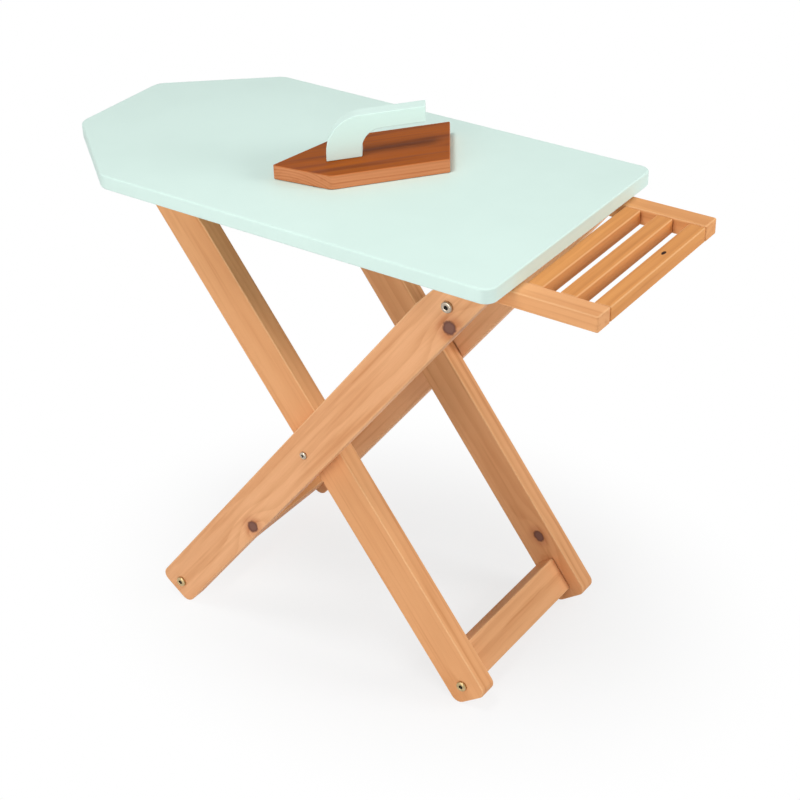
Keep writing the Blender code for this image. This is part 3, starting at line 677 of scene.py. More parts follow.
@cache
def timber_figure():
    """Year rings, fibres and streaks of a log whose heart is the first axis.

    The ring count is the distance from the heart, swayed by slow noise, over the ring width. Within each ring
    the colour rises slowly from early to late wood and falls back at once; each year has its own depth.
    """
    inputs = (
        ("Place", "Vector", (0, 0, 0)), ("Ring Width", "Float", 0.006), ("Ring Push", "Float", 0.0),
        ("Early", "Color", (0.8, 0.5, 0.3)), ("Late", "Color", (0.5, 0.2, 0.1)), ("Ring Depth", "Float", 0.5),
    )
    group, nodes, given, result = shader_group(
        "timber_figure", inputs, (("Colour", "Color"), ("Late Wood", "Float"), ("Height", "Float")),
    )
    place = given["Place"]
    sway = nodes.vector("SUBTRACT", nodes.noise(place, SWAY_WAVES, 2.0, "Color"), NOISE_MIDDLE)
    bent = nodes.vector("ADD", place, nodes.vector("MULTIPLY", sway, RING_SWAY))
    distance = nodes.vector("LENGTH", nodes.vector("MULTIPLY", bent, ACROSS_GRAIN))
    count = nodes.math("ADD", nodes.math("DIVIDE", distance, given["Ring Width"]), given["Ring Push"])
    wobble = nodes.math("MULTIPLY", nodes.noise(place, WOBBLE_WAVES), RING_WOBBLE)
    count = nodes.math("ADD", count, wobble)
    part = nodes.math("FRACT", count)
    rise = nodes.step(part, LATE_START, LATE_PEAK)
    ring = nodes.math("MULTIPLY", rise, nodes.fall(part, LATE_PEAK, LATE_END))
    year = nodes.add("ShaderNodeTexWhiteNoise", {"W": nodes.math("FLOOR", count)}, noise_dimensions="1D")
    depth = nodes.math("MULTIPLY_ADD", year.outputs["Value"], YEAR_SPREAD, YEAR_LEAST)
    late = nodes.math("MULTIPLY", ring, depth)
    fibre = nodes.noise(place, FIBRE_WAVES)
    streak = nodes.step(nodes.noise(place, STREAK_WAVES, 1.0), *STREAK_EDGE)
    tone = nodes.noise(place, TONE_WAVES)
    share = nodes.math("MULTIPLY", late, given["Ring Depth"])
    for mark, weight in ((fibre, FIBRE_SHARE), (streak, STREAK_SHARE), (tone, TONE_SHARE)):
        share = nodes.math("MULTIPLY_ADD", mark, weight, share)
    share = nodes.add("ShaderNodeClamp", {"Value": nodes.math("SUBTRACT", share, SHARE_OFFSET)}).outputs[0]
    height = nodes.math("MULTIPLY_ADD", fibre, GRAIN_HEIGHT, nodes.math("MULTIPLY", late, GRAIN_HEIGHT))
    nodes.put(result["Colour"], nodes.blend(share, given["Early"], given["Late"]))
    nodes.put(result["Late Wood"], late)
    nodes.put(result["Height"], height)
    return group


KNOT_WAVES = (260, 260, 260)
# How far a knot's outline is uneven, in metres.
KNOT_UNEVEN = (0.0035, 0.0035, 0)
# Distances from a knot's middle, in its radii: where its heart fades, its rim comes and goes, its halo fades.
HEART_EDGE = (0.82, 1.08)
RIM_INSIDE = (0.5, 0.95)
RIM_OUTSIDE = (0.95, 1.25)
HALO_EDGE = (0.8, 2.7)
# The wood that a knot pushes aside: its shape, long with the grain, and its reach in the knot's radii.
PUSH_SHAPE = (0.42, 1, 0)
PUSH_REACH = 2.3


@cache
def knot_mark():
    """A knot through the piece: its heart, its dark rim, the wood round it, and its push on the rings.

    The push is the bell curve exp(-d * d) of the distance d from the knot's middle, in the push's reach.
    """
    inputs = (
        ("Place", "Vector", (0, 0, 0)), ("Middle", "Vector", (0, 0, 0)),
        ("Radius", "Float", 0.006), ("Shape", "Vector", (0.85, 1, 0)),
    )
    outputs = (("Heart", "Float"), ("Rim", "Float"), ("Halo", "Float"), ("Push", "Float"))
    group, nodes, given, result = shader_group("knot_mark", inputs, outputs)
    rough = nodes.vector("SUBTRACT", nodes.noise(given["Place"], KNOT_WAVES, 2.0, "Color"), NOISE_MIDDLE)
    offset = nodes.vector("SUBTRACT", given["Place"], given["Middle"])
    uneven = nodes.vector("ADD", offset, nodes.vector("MULTIPLY", rough, KNOT_UNEVEN))
    across = nodes.vector("LENGTH", nodes.vector("MULTIPLY", uneven, given["Shape"]))
    reach = nodes.math("DIVIDE", across, given["Radius"])
    rim = nodes.math("MULTIPLY", nodes.step(reach, *RIM_INSIDE), nodes.fall(reach, *RIM_OUTSIDE))
    long = nodes.vector("LENGTH", nodes.vector("MULTIPLY", offset, PUSH_SHAPE))
    spread = nodes.math("DIVIDE", long, nodes.math("MULTIPLY", given["Radius"], PUSH_REACH))
    bell = nodes.math("MULTIPLY", nodes.math("POWER", spread, 2.0), -1.0)
    nodes.put(result["Heart"], nodes.fall(reach, *HEART_EDGE))
    nodes.put(result["Rim"], rim)
    nodes.put(result["Halo"], nodes.fall(reach, *HALO_EDGE))
    nodes.put(result["Push"], nodes.math("EXPONENT", bell))
    return group


CLOUD_WAVES = (11, 11, 11)
CLOUD_EDGE = (0.35, 0.7)
CLOUD_COLOUR = (0.25, 0.34, 0.3)
PEBBLE_WAVES = (420, 420, 420)


@cache
def paint_film():
    """A rolled coat of paint: soft cloudy unevenness in colour, and a fine pebbled height."""
    inputs = (
        ("Place", "Vector", (0, 0, 0)), ("Colour", "Color", (0.7, 0.9, 0.8)), ("Mottling", "Float", 0.03),
    )
    group, nodes, given, result = shader_group(
        "paint_film", inputs, (("Colour", "Color"), ("Cloud", "Float"), ("Height", "Float")),
    )
    cloud = nodes.noise(given["Place"], CLOUD_WAVES, 3.0)
    shade = nodes.math("MULTIPLY", nodes.step(cloud, *CLOUD_EDGE), given["Mottling"])
    nodes.put(result["Colour"], nodes.blend(shade, given["Colour"], CLOUD_COLOUR))
    nodes.put(result["Cloud"], cloud)
    nodes.put(result["Height"], nodes.noise(given["Place"], PEBBLE_WAVES, 1.0))
    return group


DRIFT_WAVES = (420, 420, 420)
DRIFT_EDGE = (0.35, 0.65)
SCUFF_WAVES = (900, 900, 5200)
SCUFF_EDGE = (0.3, 0.75)


@cache
def plating():
    """Plated metal: drifting tint and fine scuffs."""
    inputs = (
        ("Place", "Vector", (0, 0, 0)),
        ("Colour", "Color", (0.6, 0.6, 0.6)), ("Tint", "Color", (0.5, 0.5, 0.5)),
    )
    group, nodes, given, result = shader_group(
        "plating", inputs, (("Colour", "Color"), ("Scuff", "Float"), ("Height", "Float")),
    )
    drift = nodes.noise(given["Place"], DRIFT_WAVES)
    scuff = nodes.noise(given["Place"], SCUFF_WAVES)
    nodes.put(result["Colour"], nodes.blend(nodes.step(drift, *DRIFT_EDGE), given["Colour"], given["Tint"]))
    nodes.put(result["Scuff"], nodes.step(scuff, *SCUFF_EDGE))
    nodes.put(result["Height"], scuff)
    return group


@cache
def rim_wear_and_painted_light():
    """A second colour where a piece's rim attribute is 1: rubbed wood and painted highlight along pine edges,
    painted shade along painted edges, stain rubbed along the iron base's edges, and painted shade in a
    fastener head's recess.
    """
    inputs = (
        ("Colour", "Color", (0.8, 0.8, 0.8)), ("Edge Colour", "Color", (0.9, 0.9, 0.9)),
        ("Rim", "Float", 0.0), ("Share", "Float", 0.5),
    )
    group, nodes, given, result = shader_group("rim_wear_and_painted_light", inputs, (("Colour", "Color"),))
    share = nodes.math("MULTIPLY", given["Rim"], given["Share"])
    nodes.put(result["Colour"], nodes.blend(share, given["Colour"], given["Edge Colour"]))
    return group


def new_material(name):
    """An empty material, a helper for its nodes, and the sockets of its Principled shader."""
    material = bpy.data.materials.new(name)
    material.use_nodes = True
    nodes = Nodes(material.node_tree)
    return material, nodes, material.node_tree.nodes["Principled BSDF"].inputs


def attribute(nodes, name, output="Fac"):
    return nodes.add("ShaderNodeAttribute", attribute_name=name).outputs[output]


def object_place(nodes, rotation=(0, 0, 0)):
    """Object coordinates through a Mapping node that turns the pattern on the piece."""
    place = nodes.add("ShaderNodeTexCoord").outputs["Object"]
    return nodes.add("ShaderNodeMapping", {"Vector": place, "Rotation": rotation}).outputs["Vector"]


def group_node(nodes, group, sockets):
    return nodes.add("ShaderNodeGroup", sockets, node_tree=group).outputs


def wear_and_painted_light(nodes, colour, share, edge_colour):
    """The colour, with this share of another one where the piece's rim attribute is 1: real wear, painted
    highlight and painted shade, as the finish sets.
    """
    sockets = {"Colour": colour, "Edge Colour": edge_colour, "Rim": attribute(nodes, "rim"), "Share": share}
    return group_node(nodes, rim_wear_and_painted_light(), sockets)["Colour"]


def dress(nodes, shader, colour, roughness, height, relief):
    """Joins a colour, a roughness and a bump, of the given depth and strength, to a material's shader."""
    depth, strength = relief
    bump = nodes.add("ShaderNodeBump", {"Height": height, "Distance": depth, "Strength": strength})
    nodes.put(shader["Base Color"], colour)
    nodes.put(shader["Roughness"], roughness)
    nodes.put(shader["Normal"], bump.outputs["Normal"])


# For each finish: the rim is the share of the edge colour on rounded edges, and the relief a bump's depth, in
# metres, and its strength.
# The paint's rim is painted shade on its rounded edges, toning down their highlight.
PAINT_RIM = 0.3
PAINT_ROUGHNESS_SPREAD = 0.12
PAINT_RELIEF = (0.0002, 0.12)
PAINT_SPECULAR = 0.3


@cache
def mint_paint():
    """Satin mint paint, with painted shade along the rounded edges that tones down their highlight."""
    look = settings().paint
    material, nodes, shader = new_material("painted_mint")
    film = group_node(nodes, paint_film(), {
        "Place": object_place(nodes), "Colour": look.colour, "Mottling": look.mottling,
    })
    # Painted shade along the rounded edges, toning down their highlight.
    colour = wear_and_painted_light(nodes, film["Colour"], PAINT_RIM, look.edge_colour)
    least = look.roughness - PAINT_ROUGHNESS_SPREAD / 2
    roughness = nodes.math("MULTIPLY_ADD", film["Cloud"], PAINT_ROUGHNESS_SPREAD, least)
    dress(nodes, shader, colour, roughness, film["Height"], PAINT_RELIEF)
    shader["Specular IOR Level"].default_value = PAINT_SPECULAR
    return material


# The depth of pine's rings, and how much deeper they are close to a knot, which pushes them by so many rings.
PINE_RING_DEPTH = 0.23
KNOT_RING_DEPTH = 0.5
KNOT_PUSH = 1.5
HALO_SHARE = 0.5
KNOT_RIM_SHARE = 0.55
SPECK_SHAPE = (0.5, 1, 1)
SPECK_COLOUR = (0.03, 0.012, 0.008)
# The pine's rim is rubbed wood together with a painted highlight along its rounded edges.
PINE_RIM = 0.45
PINE_RELIEF = (0.0003, 0.18)
PINE_SPECULAR = 0.05
# What late wood adds to the roughness.
PINE_GLOSS = -0.08


@cache
def varnished_pine():
    """Pine under clear varnish, with its knots and specks, paler along the edges, where rubbed wood and a
    painted highlight show.
    """
    look = settings().pine
    material, nodes, shader = new_material("pine_under_varnish")
    place = attribute(nodes, "log", "Vector")

    def mark(node, point, radius, **shape):
        middle_in_log = log_points(node, np.array(point))
        return group_node(nodes, knot_mark(), {
            "Place": place, "Middle": middle_in_log, "Radius": radius, **shape,
        })

    first, *others = [mark(*knot) for knot in KNOTS]
    total = {}
    for label in ("Heart", "Rim", "Halo", "Push"):
        total[label] = first[label]
        for other in others:
            total[label] = nodes.math("ADD", total[label], other[label])
    figure = group_node(nodes, timber_figure(), {
        "Place": place, "Ring Width": look.ring_width, "Late": look.late,
        # Paleness is partly the piece's own tone and partly painted light on pieces that lie in shade.
        "Early": nodes.blend(attribute(nodes, "pale"), look.early, look.pale),
        "Ring Push": nodes.math("MULTIPLY", total["Push"], KNOT_PUSH),
        "Ring Depth": nodes.math("MULTIPLY_ADD", total["Halo"], KNOT_RING_DEPTH, PINE_RING_DEPTH),
    })
    # Rubbed wood together with a painted highlight along the rounded edges.
    colour = wear_and_painted_light(nodes, figure["Colour"], PINE_RIM, look.edge_colour)
    colour = nodes.blend(nodes.math("MULTIPLY", total["Halo"], HALO_SHARE), colour, look.halo)
    colour = nodes.blend(total["Heart"], colour, look.knot)
    colour = nodes.blend(nodes.math("MULTIPLY", total["Rim"], KNOT_RIM_SHARE), colour, look.knot_rim)
    for speck in SPECKS:
        colour = nodes.blend(mark(*speck, Shape=SPECK_SHAPE)["Heart"], colour, SPECK_COLOUR)
    roughness = nodes.math("MULTIPLY_ADD", figure["Late Wood"], PINE_GLOSS, look.roughness)
    dress(nodes, shader, colour, roughness, figure["Height"], PINE_RELIEF)
    shader["Specular IOR Level"].default_value = PINE_SPECULAR
    return material


# How far below the iron base's faces the deeper stain is full, and where it ends, in metres.
STAIN_FULL = 0.0002
STAIN_END = 0.0010
SOLE_STREAK_WAVES = (7, 95, 0)
SOLE_STREAK_EDGE = (0.47, 0.72)
SOLE_STREAK_SHARE = 0.75
SOLE_RING_DEPTH = 0.5
SOLE_RIM = 0.5
SOLE_RELIEF = (0.0003, 0.2)
SOLE_SPECULAR = 0.08
SOLE_GLOSS = -0.1


@cache
def stained_sole():
    """The iron's base: wood stained red-brown, deeper and with soft dark streaks on its broad faces."""
    look = settings().sole
    material, nodes, shader = new_material("wood_under_stain")
    place = attribute(nodes, "log", "Vector")
    low, high = extent("iron_base", IRON)
    half = (high[2] - low[2]) / 2
    height = nodes.add("ShaderNodeSeparateXYZ", {"Vector": place}).outputs["Z"]
    off = nodes.math("ABSOLUTE", nodes.math("SUBTRACT", height, TIMBERS["iron_base"].cut[1]))
    face = nodes.step(off, half - STAIN_END, half - STAIN_FULL)
    figure = group_node(nodes, timber_figure(), {
        "Place": place, "Ring Width": look.ring_width, "Ring Depth": SOLE_RING_DEPTH,
        "Early": nodes.blend(face, look.side, look.top),
        "Late": nodes.blend(face, look.side_late, look.top_late),
    })
    streak = nodes.step(nodes.noise(place, SOLE_STREAK_WAVES, 1.0), *SOLE_STREAK_EDGE)
    share = nodes.math("MULTIPLY", nodes.math("MULTIPLY", streak, face), SOLE_STREAK_SHARE)
    colour = nodes.blend(share, figure["Colour"], look.streak)
    colour = wear_and_painted_light(nodes, colour, SOLE_RIM, look.edge_colour)
    roughness = nodes.math("MULTIPLY_ADD", figure["Late Wood"], SOLE_GLOSS, look.roughness)
    dress(nodes, shader, colour, roughness, figure["Height"], SOLE_RELIEF)
    shader["Specular IOR Level"].default_value = SOLE_SPECULAR
    return material


# Painted shade in a bolt's socket, a screw's cross and a nut's slot.
RECESS_SHADE = 0.9
RECESS_COLOUR = (0.02, 0.02, 0.02)
SCUFF_ROUGHNESS = 0.16
METAL_RELIEF = (0.00005, 0.15)
STEEL_ROUGHNESS = 0.22
STEEL_TINT = 0.8
ZINC_ROUGHNESS = 0.26


def plated(name, colour, tint, roughness):
    """Plated metal, with painted shade in the recess of a fastener's head."""
    material, nodes, shader = new_material(name)
    coat = group_node(nodes, plating(), {"Place": object_place(nodes), "Colour": colour, "Tint": tint})
    # Painted shade in the head's recess.
    shade = wear_and_painted_light(nodes, coat["Colour"], RECESS_SHADE, RECESS_COLOUR)
    scuffed = nodes.math("MULTIPLY_ADD", coat["Scuff"], SCUFF_ROUGHNESS, roughness)
    dress(nodes, shader, shade, scuffed, coat["Height"], METAL_RELIEF)
    shader["Metallic"].default_value = 1.0
    return material


@cache
def steel():
    """Bright plated steel."""
    colour = settings().metal.steel
    return plated("bright_steel", colour, tuple(STEEL_TINT * value for value in colour), STEEL_ROUGHNESS)


@cache
def yellow_zinc():
    """Yellow passivated zinc."""
    look = settings().metal
    return plated("yellow_zinc_plate", look.zinc, look.zinc_tint, ZINC_ROUGHNESS)


BEECH_RING_WIDTH = 0.003
BEECH_RING_DEPTH = 0.3
BEECH_ROUGHNESS = 0.65
BEECH_GLOSS = -0.1
BEECH_RELIEF = (0.0002, 0.2)


def beech(name, rotation):
    """Beech, with its fine grain along the peg."""
    look = settings().metal
    material, nodes, shader = new_material(name)
    figure = group_node(nodes, timber_figure(), {
        "Place": object_place(nodes, rotation), "Ring Width": BEECH_RING_WIDTH,
        "Early": look.beech_early, "Late": look.beech_late, "Ring Depth": BEECH_RING_DEPTH,
    })
    roughness = nodes.math("MULTIPLY_ADD", figure["Late Wood"], BEECH_GLOSS, BEECH_ROUGHNESS)
    dress(nodes, shader, figure["Colour"], roughness, figure["Height"], BEECH_RELIEF)
    return material


@cache
def beech_along():
    """Pegs that lie along the board."""
    return beech("beech_along", (0, 0, 0))


@cache
def beech_across():
    """Pegs that lie across the board."""
    return beech("beech_across", (0, 0, -math.pi / 2))


def make_board():
    """The painted board: an outline with a sloping nose, carried along a rounded edge."""
    sizes = settings().board
    low, high = extent("board_top", BOARD)
    half, tip = high[1], sizes.tip_width / 2
    shoulder = low[0] + sizes.nose_length
    outline = rounded_outline((
        (low[0], -tip, sizes.nose_radius),
        (shoulder, -half, sizes.nose_radius),
        (high[0], -half, sizes.corner_radius),
        (high[0], half, sizes.corner_radius),
        (shoulder, half, sizes.nose_radius),
        (low[0], tip, sizes.nose_radius),
    ))
    rows, rim = slab(outline, low[2], high[2], sizes.edge_radius)
    add_piece("board_top", rows, BOARD, mint_paint(), rim)


def make_bar(node, place, holes=()):
    """A straight bar with all its edges rounded, as large as its CAD node."""
    low, high = extent(node, place)
    ease = settings().wood.edge_radius
    corners = ((low[0], low[1]), (high[0], low[1]), (high[0], high[1]), (low[0], high[1]))
    outline = rounded_outline([(*corner, ease * BAR_CORNER) for corner in corners])
    rows, rim = slab(outline, low[2], high[2], ease)
    add_piece(node, rows, place, varnished_pine(), rim, holes=holes)


def make_rack():
    """The rails and slats of the iron's rest."""
    for side in SIDES:
        make_bar(f"rack_rail_{side}", BOARD)
    for spot in ("inner", "middle", "outer"):
        make_bar(f"rack_slat_{spot}", BOARD)


def hanging_head(screw):
    """The head of a screw that points up: its middle's x and y, its lowest height and its radius."""
    low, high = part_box(screw)
    return (low.x + high.x) / 2, (low.y + high.y) / 2, low.z, (high.x - low.x) / 2


def make_cleats():
    """The blocks under the board, with a counterbore for each screw that comes up through them."""
    for side in SIDES:
        node = f"pivot_cleat_{side}"
        holes = []
        for spot in ("inner", "outer"):
            x, y, lowest, radius = hanging_head(f"cleat_screw_{side}_{spot}")
            holes.append(((x, y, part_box(node)[0].z - radius), (x, y, lowest + radius), radius))
        make_bar(node, BOARD, holes)


def leg_outline(top, foot, half, lean):
    """A leg along z: rounded foot corners, and a top cut level and rounded over on the side that folds up.

    The rounded side is the corner between two tangents of the top's circle: the level cut, and the slant that
    runs down to the leg's side.
    """
    sizes = settings().wood
    radius, taper = sizes.top_radius, sizes.top_taper
    slant = (half - radius * math.cos(taper)) / math.sin(taper)
    shoulder = top + radius * math.sin(taper) - slant * math.cos(taper)
    peak = top + (radius + half * math.sin(abs(lean))) / math.cos(lean)
    level, fall = math.pi / 2 + abs(lean), math.pi - taper
    reach = radius / math.cos((fall - level) / 2)
    turn = (level + fall) / 2
    outline = rounded_outline((
        (half, peak, sizes.peak_radius),
        (reach * math.cos(turn), top + reach * math.sin(turn), radius),
        (-half, shoulder, sizes.shoulder_radius),
        (-half, foot, sizes.foot_radius),
        (half, foot, sizes.foot_radius),
    ))
    return outline if lean > 0 else outline[::-1] * (-1, 1)


def make_leg(node, place, top, lean):
    """A leg: its outline from the side, carried across its thickness with rounded edges."""
    low, high = extent(node, place)
    outline = leg_outline(top, low[2], (high[0] - low[0]) / 2, lean)
    rows, rim = slab(outline, -high[1], -low[1], settings().wood.edge_radius)
    add_piece(node, upright(rows), place, varnished_pine(), rim)


def make_stretcher(pair, place):
    """The bar between two feet, with a round pocket for each cross nut on its hidden side."""
    node = f"{pair}_foot_stretcher"
    low, high = extent(node, place)
    holes = []
    for side in SIDES:
        nut_low, nut_high = extent(f"{pair}_barrel_nut_{side}", place)
        nut = (nut_low + nut_high) / 2
        radius = (nut_high[1] - nut_low[1]) / 2 * NUT_POCKET
        mouth = high[0] + radius if high[0] + low[0] > 0 else low[0] - radius
        floor = nut_low[0] if mouth > 0 else nut_high[0]
        ends = place.outward(np.array(((mouth, nut[1], nut[2]), (floor, nut[1], nut[2]))))
        holes.append((ends[0], ends[1], radius))
    make_bar(node, place, holes)


def make_top_bar():
    """The round bar between the inner legs' tops, turned about its length, with eased ends."""
    low, high = extent("inner_top_bar", INNER)
    half, radius = (high[1] - low[1]) / 2, (high[2] - low[2]) / 2
    ease = settings().wood.edge_radius
    between = EASE_MIDDLE * ease
    near_end = [(radius - ease, -half), (radius - between, between - half), (radius, ease - half)]
    far_end = [(reach, -height) for reach, height in reversed(near_end)]
    rows = lathe(near_end + far_end)
    add_piece("inner_top_bar", rows, pointing(INNER_TOP, (0, 1, 0), 0), varnished_pine())


def make_outer_legs():
    """The pair that rises towards the rest, with the stretcher between its feet."""
    for side in SIDES:
        make_leg(f"outer_leg_{side}", OUTER, 0.0, OUTER_LEAN)
    make_stretcher("outer", OUTER)


def make_inner_legs():
    """The pair that rises towards the nose, with its stretcher and its top bar."""
    for side in SIDES:
        make_leg(f"inner_leg_{side}", INNER, INNER_RISE, INNER_LEAN)
    make_stretcher("inner", INNER)
    make_top_bar()


def make_iron_base():
    """The iron's base: a pointed outline with skewed corners, carried along a rounded edge."""
    sizes = settings().iron
    low, high = extent("iron_base", IRON)
    half, skew = sizes.width / 2, sizes.skew
    outline = rounded_outline((
        (-sizes.nose_length, 0, sizes.nose_radius),
        (-skew, -half, sizes.side_radius),
        (sizes.body_length - skew, -half, sizes.back_radius),
        (sizes.body_length + skew, half, sizes.back_radius),
        (skew, half, sizes.side_radius),
    ))
    rows, rim = slab(outline, low[2], high[2], sizes.edge_radius)
    holes = []
    for spot in ("front", "back"):
        x, y, lowest, radius = hanging_head(f"iron_screw_{spot}")
        floor = lowest + settings().fasteners.screw_head
        holes.append(((x, y, lowest - radius), (x, y, floor), radius * SCREW_HOLE))
    add_piece("iron_base", rows, IRON, stained_sole(), rim, holes=holes)


def make_iron_handle():
    """The handle seen from its side: a post that curves over into a bar, open at the back.

    It is skewed like the base: x grows by the distance across from the handle's middle, times the slope.
    """
    sizes = settings().iron
    low, high = extent("iron_handle", IRON)
    slope = 2 * sizes.skew / sizes.width
    shift = slope * (high[1] - low[1]) / 2
    front, end = low[0] + shift, high[0] - shift
    back, under = front + sizes.post_width, high[2] - sizes.bar_height
    corner = sizes.handle_corner
    outline = rounded_outline((
        (front, low[2], corner),
        (back, low[2], corner),
        (back, under, sizes.inner_radius),
        (end, under, corner),
        (end, high[2], corner),
        (front, high[2], sizes.outer_radius),
    ))
    rows, rim = slab(outline, -high[1], -low[1], sizes.handle_edge)
    rows = upright(rows)
    rows[..., 0] += slope * (rows[..., 1] - (low[1] + high[1]) / 2)
    add_piece("iron_handle", rows, IRON, mint_paint(), rim)


# A fastener's tip: its radius and the length of its chamfer or point, in radii of the shank.
BOLT_TIP = (0.8, 0.2)
SCREW_TIP = (0.1, 2)
# The shank's last ring, where it meets the head, in radii of the shank.
COLLAR = 1.02
# The chamfer under a head: what it takes off the head's radius and height, as shares of them.
BOLT_CHAMFER = (0.04, 0.06)
SCREW_CHAMFER = (0.05, 0.08)
# A head's crown: the radius of its flat middle and the height of the curve, as shares of the head's.
BOLT_CROWN = (0.72, 0.62)
SCREW_CROWN = (0.62, 0.7)
# Rings from a head's face into its recess: radius as a share of the recess's, depth in metres, and how far
# the ring has turned from a circle, at 0, into the recess's own outline, at 1.
SOCKET_MOUTH = ((1.22, RING_GAP, 0), (1.08, 0.00012, 0.6), (1, 0.0003, 1))
CROSS_MOUTH = ((1.12, RING_GAP, 0), (1.02, 0.00008, 0.9), (0.96, 0.0002, 1))
NUT_SLOT = ((0.86, RING_GAP, 0), (0.84, 0.0001, 1), (0.82, 0.0011, 1))
# The recesses' floors, as shares of their radius, and the height of the socket's chamfer above its floor.
SOCKET_FLOOR = 0.9
SOCKET_CHAMFER = 0.0002
CROSS_FLOOR = 0.7
NUT_SLOT_WIDTH = 0.2
# The chamfers of washers, as a share of half their thickness, and of cross nuts, as a share of their radius.
WASHER_CHAMFER = 1 / 3
NUT_CHAMFER = 0.08


def head_place(node, axis, turn):
    """Axes at the face of a fastener's head, pointing out of it, the head's radius and the whole length."""
    low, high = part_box(node)
    outward = np.array(axis, float)
    size = np.array(high - low)
    length = float(abs(size @ outward))
    radius = float(size[0]) / 2
    return pointing(middle(node) + outward * length / 2, outward, turn), radius, length


def headed_profile(shank, head, seat, length, tip, chamfer, crown):
    """A bolt's or screw's profile, from its tip to the flat middle of its head, whose face is at height 0.

    shank and head are radii, and seat is the height of the head's underside. The crown is a quarter ellipse:
    at angle t its radius is head * (flat + (1 - flat) * cos t) and its height seat * rise * (1 - sin t).
    """
    tip_radius, tip_length = tip
    inset, lift = chamfer
    flat, rise = crown
    angle = np.linspace(0, math.pi / 2, EASE_STEPS)
    curve = zip(head * (flat + (1 - flat) * np.cos(angle)), seat * rise * (1 - np.sin(angle)))
    return [
        (shank * tip_radius, -length), (shank, shank * tip_length - length),
        (shank, seat - RING_GAP), (shank * COLLAR, seat),
        (head * (1 - inset), seat), (head, seat * (1 - lift)), *curve,
    ]


def recess_profile(radius, face, rings):
    """Points of a recess that goes down from the height of a face."""
    return [(radius * share, face - depth, turned) for share, depth, turned in rings]


def recessed(profile):
    """For each point of a profile: 1 where its ring has the recess's own outline, and 0 elsewhere; painted
    shade darkens the 1s.
    """
    return np.array([float(point[2:] == (1,)) for point in profile])


def make_bolt(node, axis, turn, finish):
    """A bolt turned about its axis: shank, domed head, and a socket whose rings go from circle to hexagon."""
    sizes = settings().fasteners
    place, head, length = head_place(node, axis, turn)
    depth = sizes.socket_depth
    rings = (*SOCKET_MOUTH, (1, depth - SOCKET_CHAMFER, 1), (SOCKET_FLOOR, depth, 1))
    profile = headed_profile(
        sizes.bolt_radius, head, -sizes.bolt_head, length, BOLT_TIP, BOLT_CHAMFER, BOLT_CROWN,
    )
    profile += recess_profile(sizes.socket_radius, 0, rings)
    add_piece(node, lathe(profile, hexagon), place, finish, recessed(profile))


def make_screw(node, axis, turn):
    """A screw turned about its axis: pointed shank, domed head, and a recess whose rings go to a cross."""
    sizes = settings().fasteners
    place, head, length = head_place(node, axis, turn)
    rings = (*CROSS_MOUTH, (CROSS_FLOOR, sizes.recess_depth, 1))
    profile = headed_profile(
        sizes.screw_radius, head, -sizes.screw_head, length, SCREW_TIP, SCREW_CHAMFER, SCREW_CROWN,
    )
    profile += recess_profile(sizes.recess_length / 2, 0, rings)
    rows = lathe(profile, cross(sizes.recess_width / sizes.recess_length))
    add_piece(node, rows, place, steel(), recessed(profile))


def make_washer(node):
    """A flat ring turned about Y: a rectangle with chamfered corners, carried round the axis."""
    low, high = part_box(node)
    outer, half = (high.x - low.x) / 2, (high.y - low.y) / 2
    sizes = settings().fasteners
    bore = (sizes.bolt_radius if "pivot" in node else sizes.screw_radius) + WASHER_SLACK
    ease = half * WASHER_CHAMFER
    rows = lathe((
        (outer - ease, -half), (outer, -half + ease), (outer, half - ease), (outer - ease, half),
        (bore + ease, half), (bore, half - ease), (bore, -half + ease), (bore + ease, -half),
    ))
    add_piece(node, rows, pointing(middle(node), (0, 1, 0), 0), steel(), ring=True)


def make_barrel_nut(node, place, outward):
    """A cross nut turned about its length, with a screwdriver slot in the end that shows."""
    low, high = extent(node, place)
    half, radius = (high[0] - low[0]) / 2, (high[1] - low[1]) / 2
    ease = radius * NUT_CHAMFER
    profile = [
        (radius - ease, -half), (radius, -half + ease), (radius, half - ease), (radius - ease, half),
        *recess_profile(radius, half, NUT_SLOT),
    ]
    rows = lathe(profile, slot(NUT_SLOT_WIDTH))
    along = pointing(middle(node), place.axes[0] * outward, 0)
    add_piece(node, rows, along, yellow_zinc(), recessed(profile))


def make_fasteners():
    """All bolts, screws, washers and cross nuts, each head turned at random."""
    turns = iter(np.random.default_rng(HEAD_TURN_SEED).uniform(0, math.tau, HEAD_TURNS))
    for side, sign in SIDES.items():
        out = (0, sign, 0)
        make_bolt(f"pivot_bolt_{side}", out, next(turns), steel())
        for pair in ("outer", "inner"):
            make_bolt(f"{pair}_foot_bolt_{side}", out, next(turns), yellow_zinc())
        make_screw(f"centre_screw_{side}", out, next(turns))
        make_screw(f"top_bar_screw_{side}", out, next(turns))
        make_washer(f"pivot_washer_{side}")
        make_washer(f"centre_washer_{side}")
        make_barrel_nut(f"outer_barrel_nut_{side}", OUTER, 1)
        make_barrel_nut(f"inner_barrel_nut_{side}", INNER, -1)
        for spot in ("inner", "outer"):
            make_screw(f"cleat_screw_{side}_{spot}", (0, 0, -1), next(turns))
        make_screw(f"rail_screw_{side}", (0, 0, -1), next(turns))
    for spot in ("front", "back"):
        make_screw(f"iron_screw_{spot}", (0, 0, -1), next(turns))


def finish_hidden_pieces():
    """Gives the pegs and the threaded inserts, which keep their CAD shape, their finishes."""
    for node, item in frame["nodes"].items():
        if "dowel" in node:
            item.material_slots[0].material = beech_along() if "rail_dowel" in node else beech_across()
        elif "insert_nut" in node:
            item.material_slots[0].material = yellow_zinc()


FLOOR_SIZE = 14.0
FLOOR_GRAIN_WAVES = (30, 30, 30)
FLOOR_GRAIN_SHARE = 0.02
FLOOR_GRAIN_COLOUR = (0.8, 0.8, 0.8)
